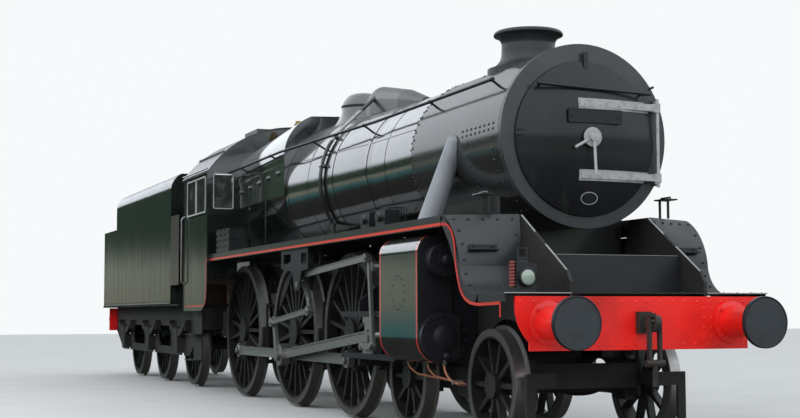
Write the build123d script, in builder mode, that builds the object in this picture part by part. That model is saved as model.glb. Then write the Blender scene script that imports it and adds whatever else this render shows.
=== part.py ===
from build123d import *
from math import cos, degrees, radians, sin, sqrt
import os

# A steam locomotive with a four-wheeled bogie, six coupled wheels, outside cylinders and valve gear,
# a tapered boiler with a flat-topped firebox, and a six-wheeled tender joined by a drawbar.
# Millimetres. X points forwards, Y to the engine's left and Z up. The origin lies on the floor that the
# wheel flanges stand on, under the middle of the overall length. A piece that both sides share is drawn on
# the right side, at -Y, and mirrored.

# Wheels and the rail
flange_depth = 28.6
rail_z = flange_depth
bogie_wheel_diameter = 1003.0
driver_diameter = 1829.0
tender_wheel_diameter = 1295.0
wheel_back_y = 680.0
tyre_width = 140.0
flange_width = 32.0
flange_lead = 12.0
tread_cone = 5.0
spoke_inset = 35.0
spoke_depth = 70.0
hub_proud = 12.0
carrying_axle_radius = 80.0
running_gap = 0.5

# Axle positions, each from the one ahead, and the overhangs to the buffer faces
front_overhang = 1680.0
bogie_wheelbase = 1981.0
bogie_to_lead = 1727.0
lead_to_main = 2134.0
main_to_trail = 2438.0
trail_to_tender = 3068.0
tender_spacing = 2286.0
rear_overhang = 1800.0
engine_wheelbase = bogie_wheelbase + bogie_to_lead + lead_to_main + main_to_trail
overall_length = front_overhang + engine_wheelbase + trail_to_tender + 2 * tender_spacing + rear_overhang

bogie_front_x = overall_length / 2 - front_overhang
bogie_rear_x = bogie_front_x - bogie_wheelbase
lead_x = bogie_rear_x - bogie_to_lead
main_x = lead_x - lead_to_main
trail_x = main_x - main_to_trail
tender_axle_xs = [trail_x - trail_to_tender - n * tender_spacing for n in range(3)]
bogie_pivot_x = (bogie_front_x + bogie_rear_x) / 2
bogie_axle_z = rail_z + bogie_wheel_diameter / 2
driver_axle_z = rail_z + driver_diameter / 2
tender_axle_z = rail_z + tender_wheel_diameter / 2

# Buffers and the red beams
buffer_reach = 490.0
buffer_spread = 870.0
buffer_z = rail_z + 1054.0
buffer_head_radius = 212.0
buffer_head_thickness = 28.0
buffer_head_dish = 60.0
buffer_shank_radius = 72.0
stock_length = 310.0
stock_flange_radius = 178.0
stock_flange_thickness = 22.0
beam_thickness = 25.0
beam_top_z = buffer_z + 216.0
beam_bottom_z = buffer_z - 224.0
beam_half_width = 1160.0
beam_foot_half_width = 1035.0
beam_x = overall_length / 2 - buffer_reach
rear_beam_x = -overall_length / 2 + buffer_reach

# Main frames
frame_inner_y = 625.5
frame_thickness = 28.6
frame_outer_y = frame_inner_y + frame_thickness
frame_top_z = driver_axle_z + 505.5
frame_bottom_z = driver_axle_z - 274.5
frame_front_top_z = driver_axle_z + 1075.5
frame_rear_x = trail_x - 1800.0
frame_tail_depth = 360.0
bogie_arch_radius = 580.0
horn_half_width = 122.0
horn_height = 170.0

# Running plate, platform and drop sheets
plate_clearance = 171.0
plate_z = rail_z + driver_diameter + plate_clearance
plate_half_width = 1250.0
plate_inner_y = 660.0
sheet = 10.0
valance_depth = 100.0
valance_thickness = 20.0
platform_z = beam_top_z + 32.0
high_plate_front_x = bogie_front_x - 40.0

# Boiler, smokebox and firebox
boiler_z = plate_z + 718.0
smokebox_radius = 815.0
smokebox_wall = 16.0
smokebox_front_x = bogie_front_x + 265.0
smokebox_length = 2135.0
smokebox_rear_x = smokebox_front_x - smokebox_length
ring_radius = 832.0
ring_length = 60.0
door_opening_radius = 640.0
door_radius = 702.0
door_z = boiler_z - 28.0
door_gap = 1.0
door_thickness = 14.0
door_bulge = 120.0
door_hinge_y = 722.0
door_hinge_ahead = 60.0
hinge_pin_radius = 15.0
strap_rise = 305.0
strap_drop = 335.0
barrel_front_radius = 800.0
barrel_rear_radius = 905.0
taper_front_x = bogie_front_x - 3070.0
firebox_front_x = main_x - 88.0
firebox_length = 2910.0
firebox_rear_x = firebox_front_x - firebox_length
chimney_x = bogie_front_x - 830.0
chimney_top_z = boiler_z + 1143.0
chimney_bore_radius = 215.0
dome_x = firebox_front_x + 430.0
dome_top_z = boiler_z + 1228.0
top_feed_rear_x = bogie_front_x - 5040.0

# Cylinders and motion
cylinder_y = 1030.0
cylinder_z = driver_axle_z - 0.5
cylinder_front_x = bogie_pivot_x + 390.5
cylinder_length = 990.0
cylinder_rear_x = cylinder_front_x - cylinder_length
crank_throw = 355.6
right_crank_angle = -52.0
left_crank_angle = 38.0
connecting_rod_length = 3200.0
rod_inner_y = 875.0
rod_thickness = 75.0
pin_end_y = 965.0
big_end_inner_y = 975.0
big_end_outer_y = 1085.0
coupled_pin_radius = 58.0
main_pin_radius = 76.0
driver_axle_radius = 105.0

# Cab
cab_front_x = trail_x - 250.0
cab_length = 1440.0
cab_rear_x = cab_front_x - cab_length
cab_half_width = 1300.0
cab_eave_z = boiler_z + 494.0
cab_apex_z = boiler_z + 1172.0
cab_floor_z = plate_z - 360.0
cab_bottom_z = plate_z - 810.0
cab_sheet = 8.0

# Tender
tender_body_front_x = cab_rear_x - 380.0
tender_footplate_length = 580.0
tender_tank_front_x = tender_body_front_x - tender_footplate_length
tank_rear_x = rear_beam_x + 150.0
tender_half_width = 1300.0
tender_floor_z = tender_axle_z + 652.5
tender_side_z = tender_floor_z + 1800.0
tender_top_z = tender_floor_z + 2100.0
tender_low_z = tender_floor_z + 1460.0
tender_frame_y = 975.0
tender_journal_y = 1075.0
drawbar_pin_x = cab_rear_x + 20.0
drawbar_z = beam_bottom_z + 170.0
drawbar_pin_radius = 38.0

os.makedirs("parts", exist_ok=True)


def slab(x_span, y_span, z_span, mode=Mode.ADD):
    """Add a block between two limits on each axis to the open part."""
    spans = (x_span, y_span, z_span)
    with Locations(tuple(sum(span) / 2 for span in spans)):
        Box(*(abs(span[1] - span[0]) for span in spans), mode=mode)


def bar(start, end, radius, mode=Mode.ADD):
    """Add a round bar between two points to the open part."""
    line = Vector(*end) - Vector(*start)
    with Locations(Plane(origin=start, z_dir=line)):
        Cylinder(radius, line.length, align=(Align.CENTER, Align.CENTER, Align.MIN), mode=mode)


def cross_bar(x, z, y_span, radius, mode=Mode.ADD):
    """Add a round bar along Y to the open part."""
    bar((x, y_span[0], z), (x, y_span[1], z), radius, mode)


def side_plane(y, x=0.0, z=0.0, turn=0.0):
    """Give the plane at y that faces -Y, its own X turned from +X towards +Z."""
    along = (cos(radians(turn)), 0, sin(radians(turn)))
    return Plane(origin=(x, y, z), x_dir=along, z_dir=(0, -1, 0))


def finish(part, name):
    """Label a finished part and write it."""
    part.label = name
    export_step(part, f"parts/{name}.step")


def crank_pin(axle_x, crank_angle):
    """Give the crank pin's x and z for an axle and a crank angle."""
    angle = radians(crank_angle)
    return axle_x + crank_throw * cos(angle), driver_axle_z + crank_throw * sin(angle)


def barrel_radius_at(x):
    """Give the boiler cladding's radius at a place along its parallel front and tapered rear."""
    share = max(0.0, (taper_front_x - x) / (taper_front_x - firebox_front_x))
    return barrel_front_radius + share * (barrel_rear_radius - barrel_front_radius)


def spoked_wheel(axle_x, tread, rim_inner, hub, spokes, spoke_root, spoke_tip):
    """Give the right-hand spoked wheel of an axle, its flange on the inner side."""
    axle_z = rail_z + tread
    outer_y = wheel_back_y + tyre_width
    overlap = 15
    with BuildPart() as wheel:
        with BuildSketch(Plane(origin=(axle_x, 0, axle_z), x_dir=(0, -1, 0), z_dir=(-1, 0, 0))):
            with BuildLine():
                Polyline(
                    (wheel_back_y, rim_inner),
                    (wheel_back_y, tread + flange_depth - flange_lead),
                    (wheel_back_y + flange_lead, tread + flange_depth),
                    (wheel_back_y + flange_width, tread),
                    (outer_y, tread - tread_cone),
                    (outer_y, rim_inner),
                    close=True,
                )
            make_face()
        revolve(axis=Axis((axle_x, 0, axle_z), (0, 1, 0)))
        with BuildSketch(side_plane(-wheel_back_y - spoke_inset, axle_x, axle_z)):
            with PolarLocations(0, spokes):
                Polygon(
                    (hub - overlap, -spoke_root / 2),
                    (rim_inner + overlap, -spoke_tip / 2),
                    (rim_inner + overlap, spoke_tip / 2),
                    (hub - overlap, spoke_root / 2),
                    align=None,
                )
        extrude(amount=spoke_depth)
        cross_bar(axle_x, axle_z, (-wheel_back_y, -outer_y - hub_proud), hub)
    return wheel.part


# Bogie and tender wheelsets: name, axle x, wheel diameter, axle end
bogie_rim_inner = 415.0
bogie_hub_radius = 115.0
bogie_spokes = 10
bogie_spoke_root = 50.0
bogie_spoke_tip = 36.0
tender_rim_inner = 550.0
tender_hub_radius = 130.0
tender_spokes = 12
tender_spoke_root = 54.0
tender_spoke_tip = 38.0
bogie_wheel_form = (bogie_rim_inner, bogie_hub_radius, bogie_spokes, bogie_spoke_root, bogie_spoke_tip)
tender_wheel_form = (tender_rim_inner, tender_hub_radius, tender_spokes, tender_spoke_root, tender_spoke_tip)
# Wheelsets: name, axle x, wheel diameter, wheel form, half length of the axle
wheelset_table = [
    ("bogie_wheels_front", bogie_front_x, bogie_wheel_diameter, bogie_wheel_form, wheel_back_y),
    ("bogie_wheels_rear", bogie_rear_x, bogie_wheel_diameter, bogie_wheel_form, wheel_back_y),
    ("tender_wheels_front", tender_axle_xs[0], tender_wheel_diameter, tender_wheel_form, tender_journal_y),
    ("tender_wheels_middle", tender_axle_xs[1], tender_wheel_diameter, tender_wheel_form, tender_journal_y),
    ("tender_wheels_rear", tender_axle_xs[2], tender_wheel_diameter, tender_wheel_form, tender_journal_y),
]
for name, axle_x, diameter, wheel_form, axle_end in wheelset_table:
    wheel = spoked_wheel(axle_x, diameter / 2, *wheel_form)
    with BuildPart() as wheelset:
        add(wheel)
        mirror(about=Plane.XZ)
        cross_bar(axle_x, rail_z + diameter / 2, (-axle_end, axle_end), carrying_axle_radius)
    finish(wheelset.part, name)

# Coupled wheelsets: name, axle x, crank pin radius, balance weight's half angle
driver_rim_inner = 815.0
driver_hub_radius = 165.0
driver_spokes = 19
driver_spoke_root = 54.0
driver_spoke_tip = 38.0
crank_boss_radius = 128.0
crank_boss_outer_y = wheel_back_y + tyre_width + 35
weight_inner_y = wheel_back_y + 22.0
weight_depth = 96.0
driver_form = (driver_rim_inner, driver_hub_radius, driver_spokes, driver_spoke_root, driver_spoke_tip)
driver_table = [
    ("driver_wheels_lead", lead_x, coupled_pin_radius, 26.0),
    ("driver_wheels_main", main_x, main_pin_radius, 36.0),
    ("driver_wheels_trail", trail_x, coupled_pin_radius, 26.0),
]
for name, axle_x, pin_radius, weight_angle in driver_table:
    wheel = spoked_wheel(axle_x, driver_diameter / 2, *driver_form)
    with BuildPart() as wheelset:
        add(wheel)
        mirror(about=Plane.XZ)
        cross_bar(axle_x, driver_axle_z, (-wheel_back_y, wheel_back_y), driver_axle_radius)
        for side, crank_angle in ((-1, right_crank_angle), (1, left_crank_angle)):
            pin_x, pin_z = crank_pin(axle_x, crank_angle)
            boss_span = (side * (wheel_back_y + spoke_inset), side * crank_boss_outer_y)
            cross_bar(pin_x, pin_z, boss_span, crank_boss_radius)
            cross_bar(pin_x, pin_z, (side * crank_boss_outer_y, side * pin_end_y), pin_radius)
            weight_plane = side_plane(side * weight_inner_y, axle_x, driver_axle_z, crank_angle + 180)
            with BuildSketch(weight_plane):
                with BuildLine():
                    weight_rim = CenterArc((0, 0), driver_rim_inner + 5, -weight_angle, 2 * weight_angle)
                    Line(weight_rim @ 0, weight_rim @ 1)
                make_face()
            extrude(amount=-side * weight_depth)
    finish(wheelset.part, name)

# Main frame plates, arched over the bogie wheels, with horn gaps for the coupled axles
slope_foot_x = bogie_front_x + 1113
slope_top_x = bogie_front_x + 274
frame_step_x = trail_x - 700
horn_top_z = driver_axle_z + horn_height
with BuildPart() as main_frames:
    with BuildSketch(Plane.XZ.offset(frame_inner_y)):
        with BuildLine():
            Polyline(
                (beam_x - beam_thickness, beam_bottom_z),
                (beam_x - beam_thickness, platform_z + 90),
                (slope_foot_x, platform_z + 172),
                (slope_top_x, frame_front_top_z),
                (smokebox_front_x - 300, frame_front_top_z),
                (smokebox_front_x - 500, frame_top_z),
                (trail_x - 500, frame_top_z),
                (frame_step_x, frame_top_z - 240),
                (frame_rear_x, frame_top_z - 240),
                (frame_rear_x, frame_top_z - 240 - frame_tail_depth),
                (frame_step_x, frame_bottom_z),
                (lead_x + 1000, frame_bottom_z),
                (lead_x + 800, beam_bottom_z),
                close=True,
            )
        make_face()
        with Locations((bogie_front_x, bogie_axle_z), (bogie_rear_x, bogie_axle_z)):
            Circle(bogie_arch_radius, mode=Mode.SUBTRACT)
        for axle_x in (lead_x, main_x, trail_x):
            with Locations((axle_x, horn_top_z)):
                Rectangle(
                    2 * horn_half_width, horn_top_z - frame_bottom_z + sheet,
                    align=(Align.CENTER, Align.MAX), mode=Mode.SUBTRACT,
                )
    extrude(amount=frame_thickness)
    mirror(about=Plane.XZ)
finish(main_frames.part, "main_frames")

# Stretchers between the plates: place, x, thickness, low z, high z
bogie_stretcher_low_z = bogie_axle_z + 298.5
drag_top_z = frame_top_z - 240
lead_brace_x = (lead_x + main_x) / 2
bogie_pin_radius = 75.0
stretcher_table = [
    ("front", beam_x - 320, 25.0, beam_bottom_z, platform_z - sheet),
    ("bogie", bogie_pivot_x, 420.0, bogie_stretcher_low_z, bogie_stretcher_low_z + 160),
    ("motion", lead_x + 1020, 30.0, frame_bottom_z + 150, frame_top_z - 40),
    ("lead", lead_brace_x, 30.0, frame_bottom_z + 150, frame_top_z - 40),
    ("main", main_x + 260, 30.0, frame_bottom_z + 150, frame_top_z - 40),
    ("drag", frame_rear_x + 260, 520.0, drag_top_z - 100, drag_top_z),
]
with BuildPart() as frame_stretchers:
    for place, x, thickness, low, high in stretcher_table:
        slab((x - thickness / 2, x + thickness / 2), (-frame_inner_y, frame_inner_y), (low, high))
    bar(
        (bogie_pivot_x, 0, bogie_stretcher_low_z - 160), (bogie_pivot_x, 0, bogie_stretcher_low_z + 20),
        bogie_pin_radius,
    )
    bar(
        (drawbar_pin_x, 0, drawbar_z - 70), (drawbar_pin_x, 0, drag_top_z - 80), drawbar_pin_radius,
    )
finish(frame_stretchers.part, "frame_stretchers")

# Axleboxes of the coupled axles in the horn gaps, each with a leaf spring slung below it
box_inner_y = frame_inner_y - 70
box_outer_y = wheel_back_y - 8
spring_half_span = 450.0
spring_z = driver_axle_z - 300
with BuildPart() as driver_axleboxes:
    for axle_x in (lead_x, main_x, trail_x):
        slab(
            (axle_x - horn_half_width + running_gap, axle_x + horn_half_width - running_gap),
            (-box_outer_y, -box_inner_y), (driver_axle_z - 190, driver_axle_z + 150),
        )
        slab(
            (axle_x - 50, axle_x + 50), (-box_outer_y + 10, -box_inner_y),
            (spring_z - 75, driver_axle_z - 180),
        )
        with BuildSketch(Plane.XZ.offset(box_inner_y + 15)):
            with BuildLine():
                tip_z = spring_z + 10
                spring_top = ThreePointArc(
                    (axle_x - spring_half_span, tip_z), (axle_x, spring_z - 25),
                    (axle_x + spring_half_span, tip_z),
                )
                spring_foot = ThreePointArc(
                    (axle_x - spring_half_span, tip_z - 25), (axle_x, spring_z - 130),
                    (axle_x + spring_half_span, tip_z - 25),
                )
                Line(spring_top @ 0, spring_foot @ 0)
                Line(spring_top @ 1, spring_foot @ 1)
            make_face()
        extrude(amount=70)
        cross_bar(axle_x, driver_axle_z, (-wheel_back_y, 0), driver_axle_radius + running_gap, Mode.SUBTRACT)
    mirror(about=Plane.XZ)
finish(driver_axleboxes.part, "driver_axleboxes")

# Brake gear: a block on the leading edge of each coupled wheel, its hanger, cross beams and pull rods
block_gap = 8.0
block_depth = 45.0
block_half_angle = 13.0
block_low_angle = -10.0
hanger_inner_y = wheel_back_y + flange_width + 18
hanger_x_offset = driver_diameter / 2 + 50
hanger_width = 38.0
hanger_top_z = driver_axle_z + 330
brake_beam_z = driver_axle_z - 420
pull_rod_y = 420.0
with BuildPart() as brake_gear:
    for axle_x in (lead_x, main_x, trail_x):
        hanger_x = axle_x + hanger_x_offset
        with BuildSketch(side_plane(-wheel_back_y - flange_width - 6, axle_x, driver_axle_z)):
            with BuildLine():
                block_inner = driver_diameter / 2 + block_gap
                start = block_low_angle - block_half_angle
                face_arc = CenterArc((0, 0), block_inner, start, 2 * block_half_angle)
                back_arc = CenterArc((0, 0), block_inner + block_depth, start, 2 * block_half_angle)
                Line(face_arc @ 0, back_arc @ 0)
                Line(face_arc @ 1, back_arc @ 1)
            make_face()
        extrude(amount=tyre_width - flange_width - 18)
        slab(
            (hanger_x - hanger_width / 2, hanger_x + hanger_width / 2),
            (-hanger_inner_y - 30, -hanger_inner_y),
            (brake_beam_z - 40, hanger_top_z + 40),
        )
        cross_bar(hanger_x, hanger_top_z, (-hanger_inner_y - 30, -frame_outer_y), 22)
    mirror(about=Plane.XZ)
    for axle_x in (lead_x, main_x, trail_x):
        cross_bar(axle_x + hanger_x_offset, brake_beam_z, (-hanger_inner_y, hanger_inner_y), 28)
    for y in (-pull_rod_y, pull_rod_y):
        bar(
            (trail_x + hanger_x_offset, y, brake_beam_z), (lead_x + hanger_x_offset, y, brake_beam_z), 18,
        )
finish(brake_gear.part, "brake_gear")

# The red front beam, narrower at its foot with a concave curve at each end
beam_curve_low_z = beam_bottom_z + 70
beam_curve_top_z = beam_top_z - 60
with BuildPart() as buffer_beam:
    with BuildSketch(Plane.YZ.offset(beam_x - beam_thickness)):
        with BuildLine():
            Polyline(
                (0, beam_bottom_z), (beam_foot_half_width, beam_bottom_z),
                (beam_foot_half_width, beam_curve_low_z),
            )
            RadiusArc((beam_foot_half_width, beam_curve_low_z), (beam_half_width, beam_curve_top_z), -420)
            Polyline((beam_half_width, beam_curve_top_z), (beam_half_width, beam_top_z), (0, beam_top_z))
            mirror(about=Plane.YZ)
        make_face()
    extrude(amount=beam_thickness)
finish(buffer_beam.part, "buffer_beam")

# Rear beam of the tender
with BuildPart() as tender_beam:
    slab(
        (rear_beam_x, rear_beam_x + beam_thickness), (-beam_half_width, beam_half_width),
        (beam_bottom_z, beam_top_z),
    )
finish(tender_beam.part, "tender_beam")

# Buffers at both ends: a stock with its flange and tapered barrel, and a head on its shank
head_back = buffer_reach - buffer_head_thickness
for name, face_x, ahead in (("front", beam_x, 1), ("tender", rear_beam_x, -1)):
    buffer_plane = Plane(origin=(face_x, buffer_spread, buffer_z), x_dir=(ahead, 0, 0), z_dir=(0, -ahead, 0))
    buffer_axis = Axis((face_x, buffer_spread, buffer_z), (1, 0, 0))
    with BuildPart() as buffer_stocks:
        with BuildSketch(buffer_plane):
            with BuildLine():
                Polyline(
                    (0, 0),
                    (0, stock_flange_radius),
                    (stock_flange_thickness, stock_flange_radius),
                    (stock_flange_thickness + 8, stock_flange_radius - 40),
                    (stock_length - 40, buffer_shank_radius + 36),
                    (stock_length, buffer_shank_radius + 36),
                    (stock_length, 0),
                    close=True,
                )
            make_face()
        revolve(axis=buffer_axis)
        mirror(about=Plane.XZ)
    finish(buffer_stocks.part, f"{name}_buffer_stocks")
    with BuildPart() as buffer_heads:
        with BuildSketch(buffer_plane):
            with BuildLine():
                Polyline(
                    (stock_length, 0),
                    (stock_length, buffer_shank_radius),
                    (head_back - buffer_head_dish, buffer_shank_radius),
                    (head_back, buffer_head_radius),
                    (buffer_reach, buffer_head_radius),
                    (buffer_reach, 0),
                    close=True,
                )
            make_face()
        revolve(axis=buffer_axis)
        mirror(about=Plane.XZ)
    finish(buffer_heads.part, f"{name}_buffer_heads")

# Drawhooks at both ends, each with its screw coupling hanging from the hook
hook_reach = 190.0
hook_radius = 78.0
hook_thickness = 50.0
link_y = 48.0
link_thickness = 28.0
link_drop = 330.0
screw_tail = 190.0
for name, face_x, ahead in (("front_drawgear", beam_x, 1), ("tender_drawgear", rear_beam_x, -1)):
    hook_x = face_x + ahead * hook_reach
    with BuildPart() as drawgear:
        slab((face_x, face_x + ahead * 60), (-60, 60), (buffer_z - 90, buffer_z + 90))
        slab(
            (face_x + ahead * 60, hook_x - ahead * 40), (-hook_thickness / 2, hook_thickness / 2),
            (buffer_z - 45, buffer_z + 45),
        )
        with BuildSketch(side_plane(hook_thickness / 2, hook_x, buffer_z)):
            Circle(hook_radius)
            with Locations((ahead * 4, 12)):
                Circle(hook_radius - 42, mode=Mode.SUBTRACT)
            with Locations((ahead * 20, 60)):
                Rectangle(60, 60, mode=Mode.SUBTRACT)
        extrude(amount=hook_thickness)
        for y in (-link_y, link_y):
            slab(
                (hook_x - 20, hook_x + 20), (y - link_thickness / 2, y + link_thickness / 2),
                (buffer_z - link_drop, buffer_z + 20),
            )
        cross_bar(hook_x, buffer_z - link_drop, (-85, 85), 30)
        cross_bar(hook_x, buffer_z + 5, (-62, 62), 19)
        bar((hook_x, 0, buffer_z - link_drop), (hook_x, 0, buffer_z - link_drop - screw_tail), 24)
    finish(drawgear.part, name)

# The low front platform beside the frames with its valances, and the flat cover between the frames
platform_rear_x = bogie_front_x + 679
cover_front_x = bogie_front_x + 800
cover_rear_x = bogie_front_x + 330
cover_top_z = platform_z + 325
lamp_x = beam_x - 290
lamp_y = 950.0
lamp_half_width = 92.0
lamp_half_depth = 75.0
lamp_height = 240.0
lamp_lens_radius = 66.0
with BuildPart() as front_platform:
    slab((platform_rear_x, beam_x), (-plate_half_width, -frame_outer_y), (platform_z - sheet, platform_z))
    slab(
        (platform_rear_x, beam_x - beam_thickness),
        (-plate_half_width, valance_thickness - plate_half_width),
        (platform_z - valance_depth + 25, platform_z - sheet),
    )
    mirror(about=Plane.XZ)
    slab(
        (beam_x - 300, beam_x - beam_thickness), (-frame_inner_y, frame_inner_y),
        (platform_z - sheet, platform_z),
    )
    slab((cover_rear_x, cover_front_x), (-frame_inner_y, frame_inner_y), (cover_top_z - sheet, cover_top_z))
    slab(
        (cover_front_x - sheet, cover_front_x), (-frame_inner_y, frame_inner_y),
        (platform_z - 60, cover_top_z),
    )
    slab(
        (lamp_x - lamp_half_depth, lamp_x + lamp_half_depth),
        (-lamp_y - lamp_half_width, -lamp_y + lamp_half_width),
        (platform_z, platform_z + lamp_height),
    )
    lamp_z = platform_z + lamp_height * 0.52
    bar((lamp_x, -lamp_y, lamp_z), (lamp_x + lamp_half_depth + 28, -lamp_y, lamp_z), lamp_lens_radius)
    bar((lamp_x, -lamp_y, platform_z + lamp_height - 5), (lamp_x, -lamp_y, platform_z + lamp_height + 40), 46)
    for y in (-lamp_y - 40, -lamp_y + 40):
        slab((lamp_x - 6, lamp_x + 6), (y - 6, y + 6), (platform_z + lamp_height - 5, platform_z + 375))
    slab((lamp_x - 6, lamp_x + 6), (-lamp_y - 46, -lamp_y + 46), (platform_z + 363, platform_z + 375))
finish(front_platform.part, "front_platform")

# High running plates on each side, from the drop sheets to the cab, with their valances and gussets,
# mechanical lubricators, and the tool box ahead of the cab on the right side
drop_inner_x = bogie_front_x + 270
gusset_low_z = plate_z - valance_depth
lubricator_xs = (cylinder_rear_x - 260, cylinder_rear_x - 700)
tool_box_front_x = cab_front_x + 960
tool_box_length = 700.0
tool_box_y = 1000.0
tool_box_height = 320.0
tool_box_ribs = 4
with BuildPart() as running_plates:
    with BuildSketch(Plane.XY.offset(plate_z - sheet)):
        with BuildLine():
            Polyline(
                (cab_front_x, -plate_inner_y),
                (cab_front_x, -plate_half_width),
                (high_plate_front_x - sheet, -plate_half_width),
                (drop_inner_x - sheet, -plate_inner_y),
                close=True,
            )
        make_face()
    extrude(amount=sheet)
    slab(
        (cab_front_x, high_plate_front_x - valance_depth + 30),
        (-plate_half_width, valance_thickness - plate_half_width),
        (plate_z - valance_depth, plate_z - sheet),
    )
    for gusset_x in (cylinder_rear_x - 40, lead_x + 950, (main_x + trail_x) / 2):
        slab(
            (gusset_x - sheet, gusset_x + sheet),
            (valance_thickness + sheet - plate_half_width, -frame_outer_y),
            (gusset_low_z, plate_z - sheet),
        )
    for x in lubricator_xs:
        slab((x - 130, x + 130), (-1160, -1000), (plate_z, plate_z + 170))
        cross_bar(x, plate_z + 100, (-1160, -1200), 48)
    mirror(about=Plane.XZ)
    tool_box_y_span = (-tool_box_y - 215, -tool_box_y)
    slab(
        (tool_box_front_x - tool_box_length, tool_box_front_x), tool_box_y_span,
        (plate_z, plate_z + tool_box_height),
    )
    rib_pitch = tool_box_height / tool_box_ribs
    for n in range(tool_box_ribs):
        rib_z = plate_z + (n + 0.5) * rib_pitch
        slab(
            (tool_box_front_x - tool_box_length - 12, tool_box_front_x + 12),
            (tool_box_y_span[0] - 12, tool_box_y_span[1]), (rib_z - rib_pitch / 4, rib_z + rib_pitch / 4),
        )
finish(running_plates.part, "running_plates")

# Drop sheets: each is ruled from a curve along its outer edge to a steeper one beside the frame
drop_waist = (bogie_front_x + 302, plate_z - 459)
drop_lower = (bogie_front_x + 410, platform_z + 64)
drop_middle_z = plate_z - 170
valance_inset = 70.0
with BuildPart() as drop_sheets:
    # Each edge of the sheet: its y, its top's x, its middle's x
    for y, top_x, middle_x in (
        (plate_inner_y, drop_inner_x, bogie_front_x + 290),
        (plate_half_width, high_plate_front_x, bogie_front_x + 190),
    ):
        with BuildSketch(Plane.XZ.offset(y)):
            with BuildLine():
                for shift in (0, sheet):
                    waist = (drop_waist[0] - shift, drop_waist[1] - shift)
                    ThreePointArc(
                        (top_x - shift, plate_z - shift), (middle_x - shift, drop_middle_z - shift), waist,
                    )
                    ThreePointArc(
                        waist, (drop_lower[0] - shift, drop_lower[1] - shift),
                        (platform_rear_x - shift, platform_z - shift),
                    )
                Line((top_x, plate_z), (top_x - sheet, plate_z - sheet))
                Line((platform_rear_x, platform_z), (platform_rear_x - sheet, platform_z - sheet))
            make_face()
    loft(ruled=True)
    with BuildSketch(Plane.XZ.offset(plate_half_width - valance_thickness)):
        with BuildLine():
            for shift in (sheet, valance_inset):
                waist = (drop_waist[0] - shift, drop_waist[1] - shift)
                ThreePointArc(
                    (high_plate_front_x - shift, plate_z - shift),
                    (bogie_front_x + 130 - shift, drop_middle_z - shift), waist,
                )
                ThreePointArc(
                    waist, (drop_lower[0] - shift, drop_lower[1] - shift),
                    (platform_rear_x - shift, platform_z - shift),
                )
            for end_x, end_z in ((high_plate_front_x, plate_z), (platform_rear_x, platform_z)):
                Line((end_x - sheet, end_z - sheet), (end_x - valance_inset, end_z - valance_inset))
        make_face()
    extrude(amount=valance_thickness - 2)
    mirror(about=Plane.XZ)
finish(drop_sheets.part, "drop_sheets")

# Smokebox shell, open at the front; the boiler's tube plate closes its rear
with BuildPart() as smokebox:
    bar((smokebox_rear_x, 0, boiler_z), (smokebox_front_x - ring_length, 0, boiler_z), smokebox_radius)
    bar(
        (smokebox_rear_x, 0, boiler_z), (smokebox_front_x - ring_length, 0, boiler_z),
        smokebox_radius - smokebox_wall, Mode.SUBTRACT,
    )
    bar((chimney_x, 0, boiler_z), (chimney_x, 0, chimney_top_z), chimney_bore_radius, Mode.SUBTRACT)
finish(smokebox.part, "smokebox")

# Smokebox front: a ring with the door opening and the two lugs that hold the door's hinge pin
front_plate_thickness = 28.0
hinge_x = smokebox_front_x + door_hinge_ahead
lug_beyond_strap = 58.0
pin_beyond_lug = 25.0
lug_zs = (door_z - strap_drop - lug_beyond_strap, door_z + strap_rise + lug_beyond_strap)
lug_half_height = 11.0
with BuildPart() as smokebox_front:
    bar((smokebox_front_x - ring_length, 0, boiler_z), (smokebox_front_x, 0, boiler_z), ring_radius)
    bar(
        (smokebox_front_x - ring_length, 0, boiler_z),
        (smokebox_front_x - front_plate_thickness, 0, boiler_z),
        smokebox_radius - smokebox_wall, Mode.SUBTRACT,
    )
    bar(
        (smokebox_front_x - 100, 0, door_z), (smokebox_front_x, 0, door_z), door_opening_radius,
        Mode.SUBTRACT,
    )
    for z in lug_zs:
        slab(
            (smokebox_front_x, hinge_x), (door_hinge_y - 16, door_hinge_y + 16),
            (z - lug_half_height, z + lug_half_height),
        )
    bar(
        (hinge_x, door_hinge_y, lug_zs[0] - pin_beyond_lug),
        (hinge_x, door_hinge_y, lug_zs[1] + pin_beyond_lug),
        hinge_pin_radius,
    )
finish(smokebox_front.part, "smokebox_front")

# The dished smokebox door with its two strap hinges, crossbar boss, dart handles, rail and lamp iron
door_x = smokebox_front_x + door_gap
boss_x = door_x + door_bulge
strap_half_height = 30.0
strap_boss_radius = 28.0
dish_middle_radius = 380.0
door_rim = 22.0
strap_reach = door_hinge_y + 100
strap_end_length = 90.0
strap_end_half_height = 42.0
door_rail_x = door_x + 100
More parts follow.
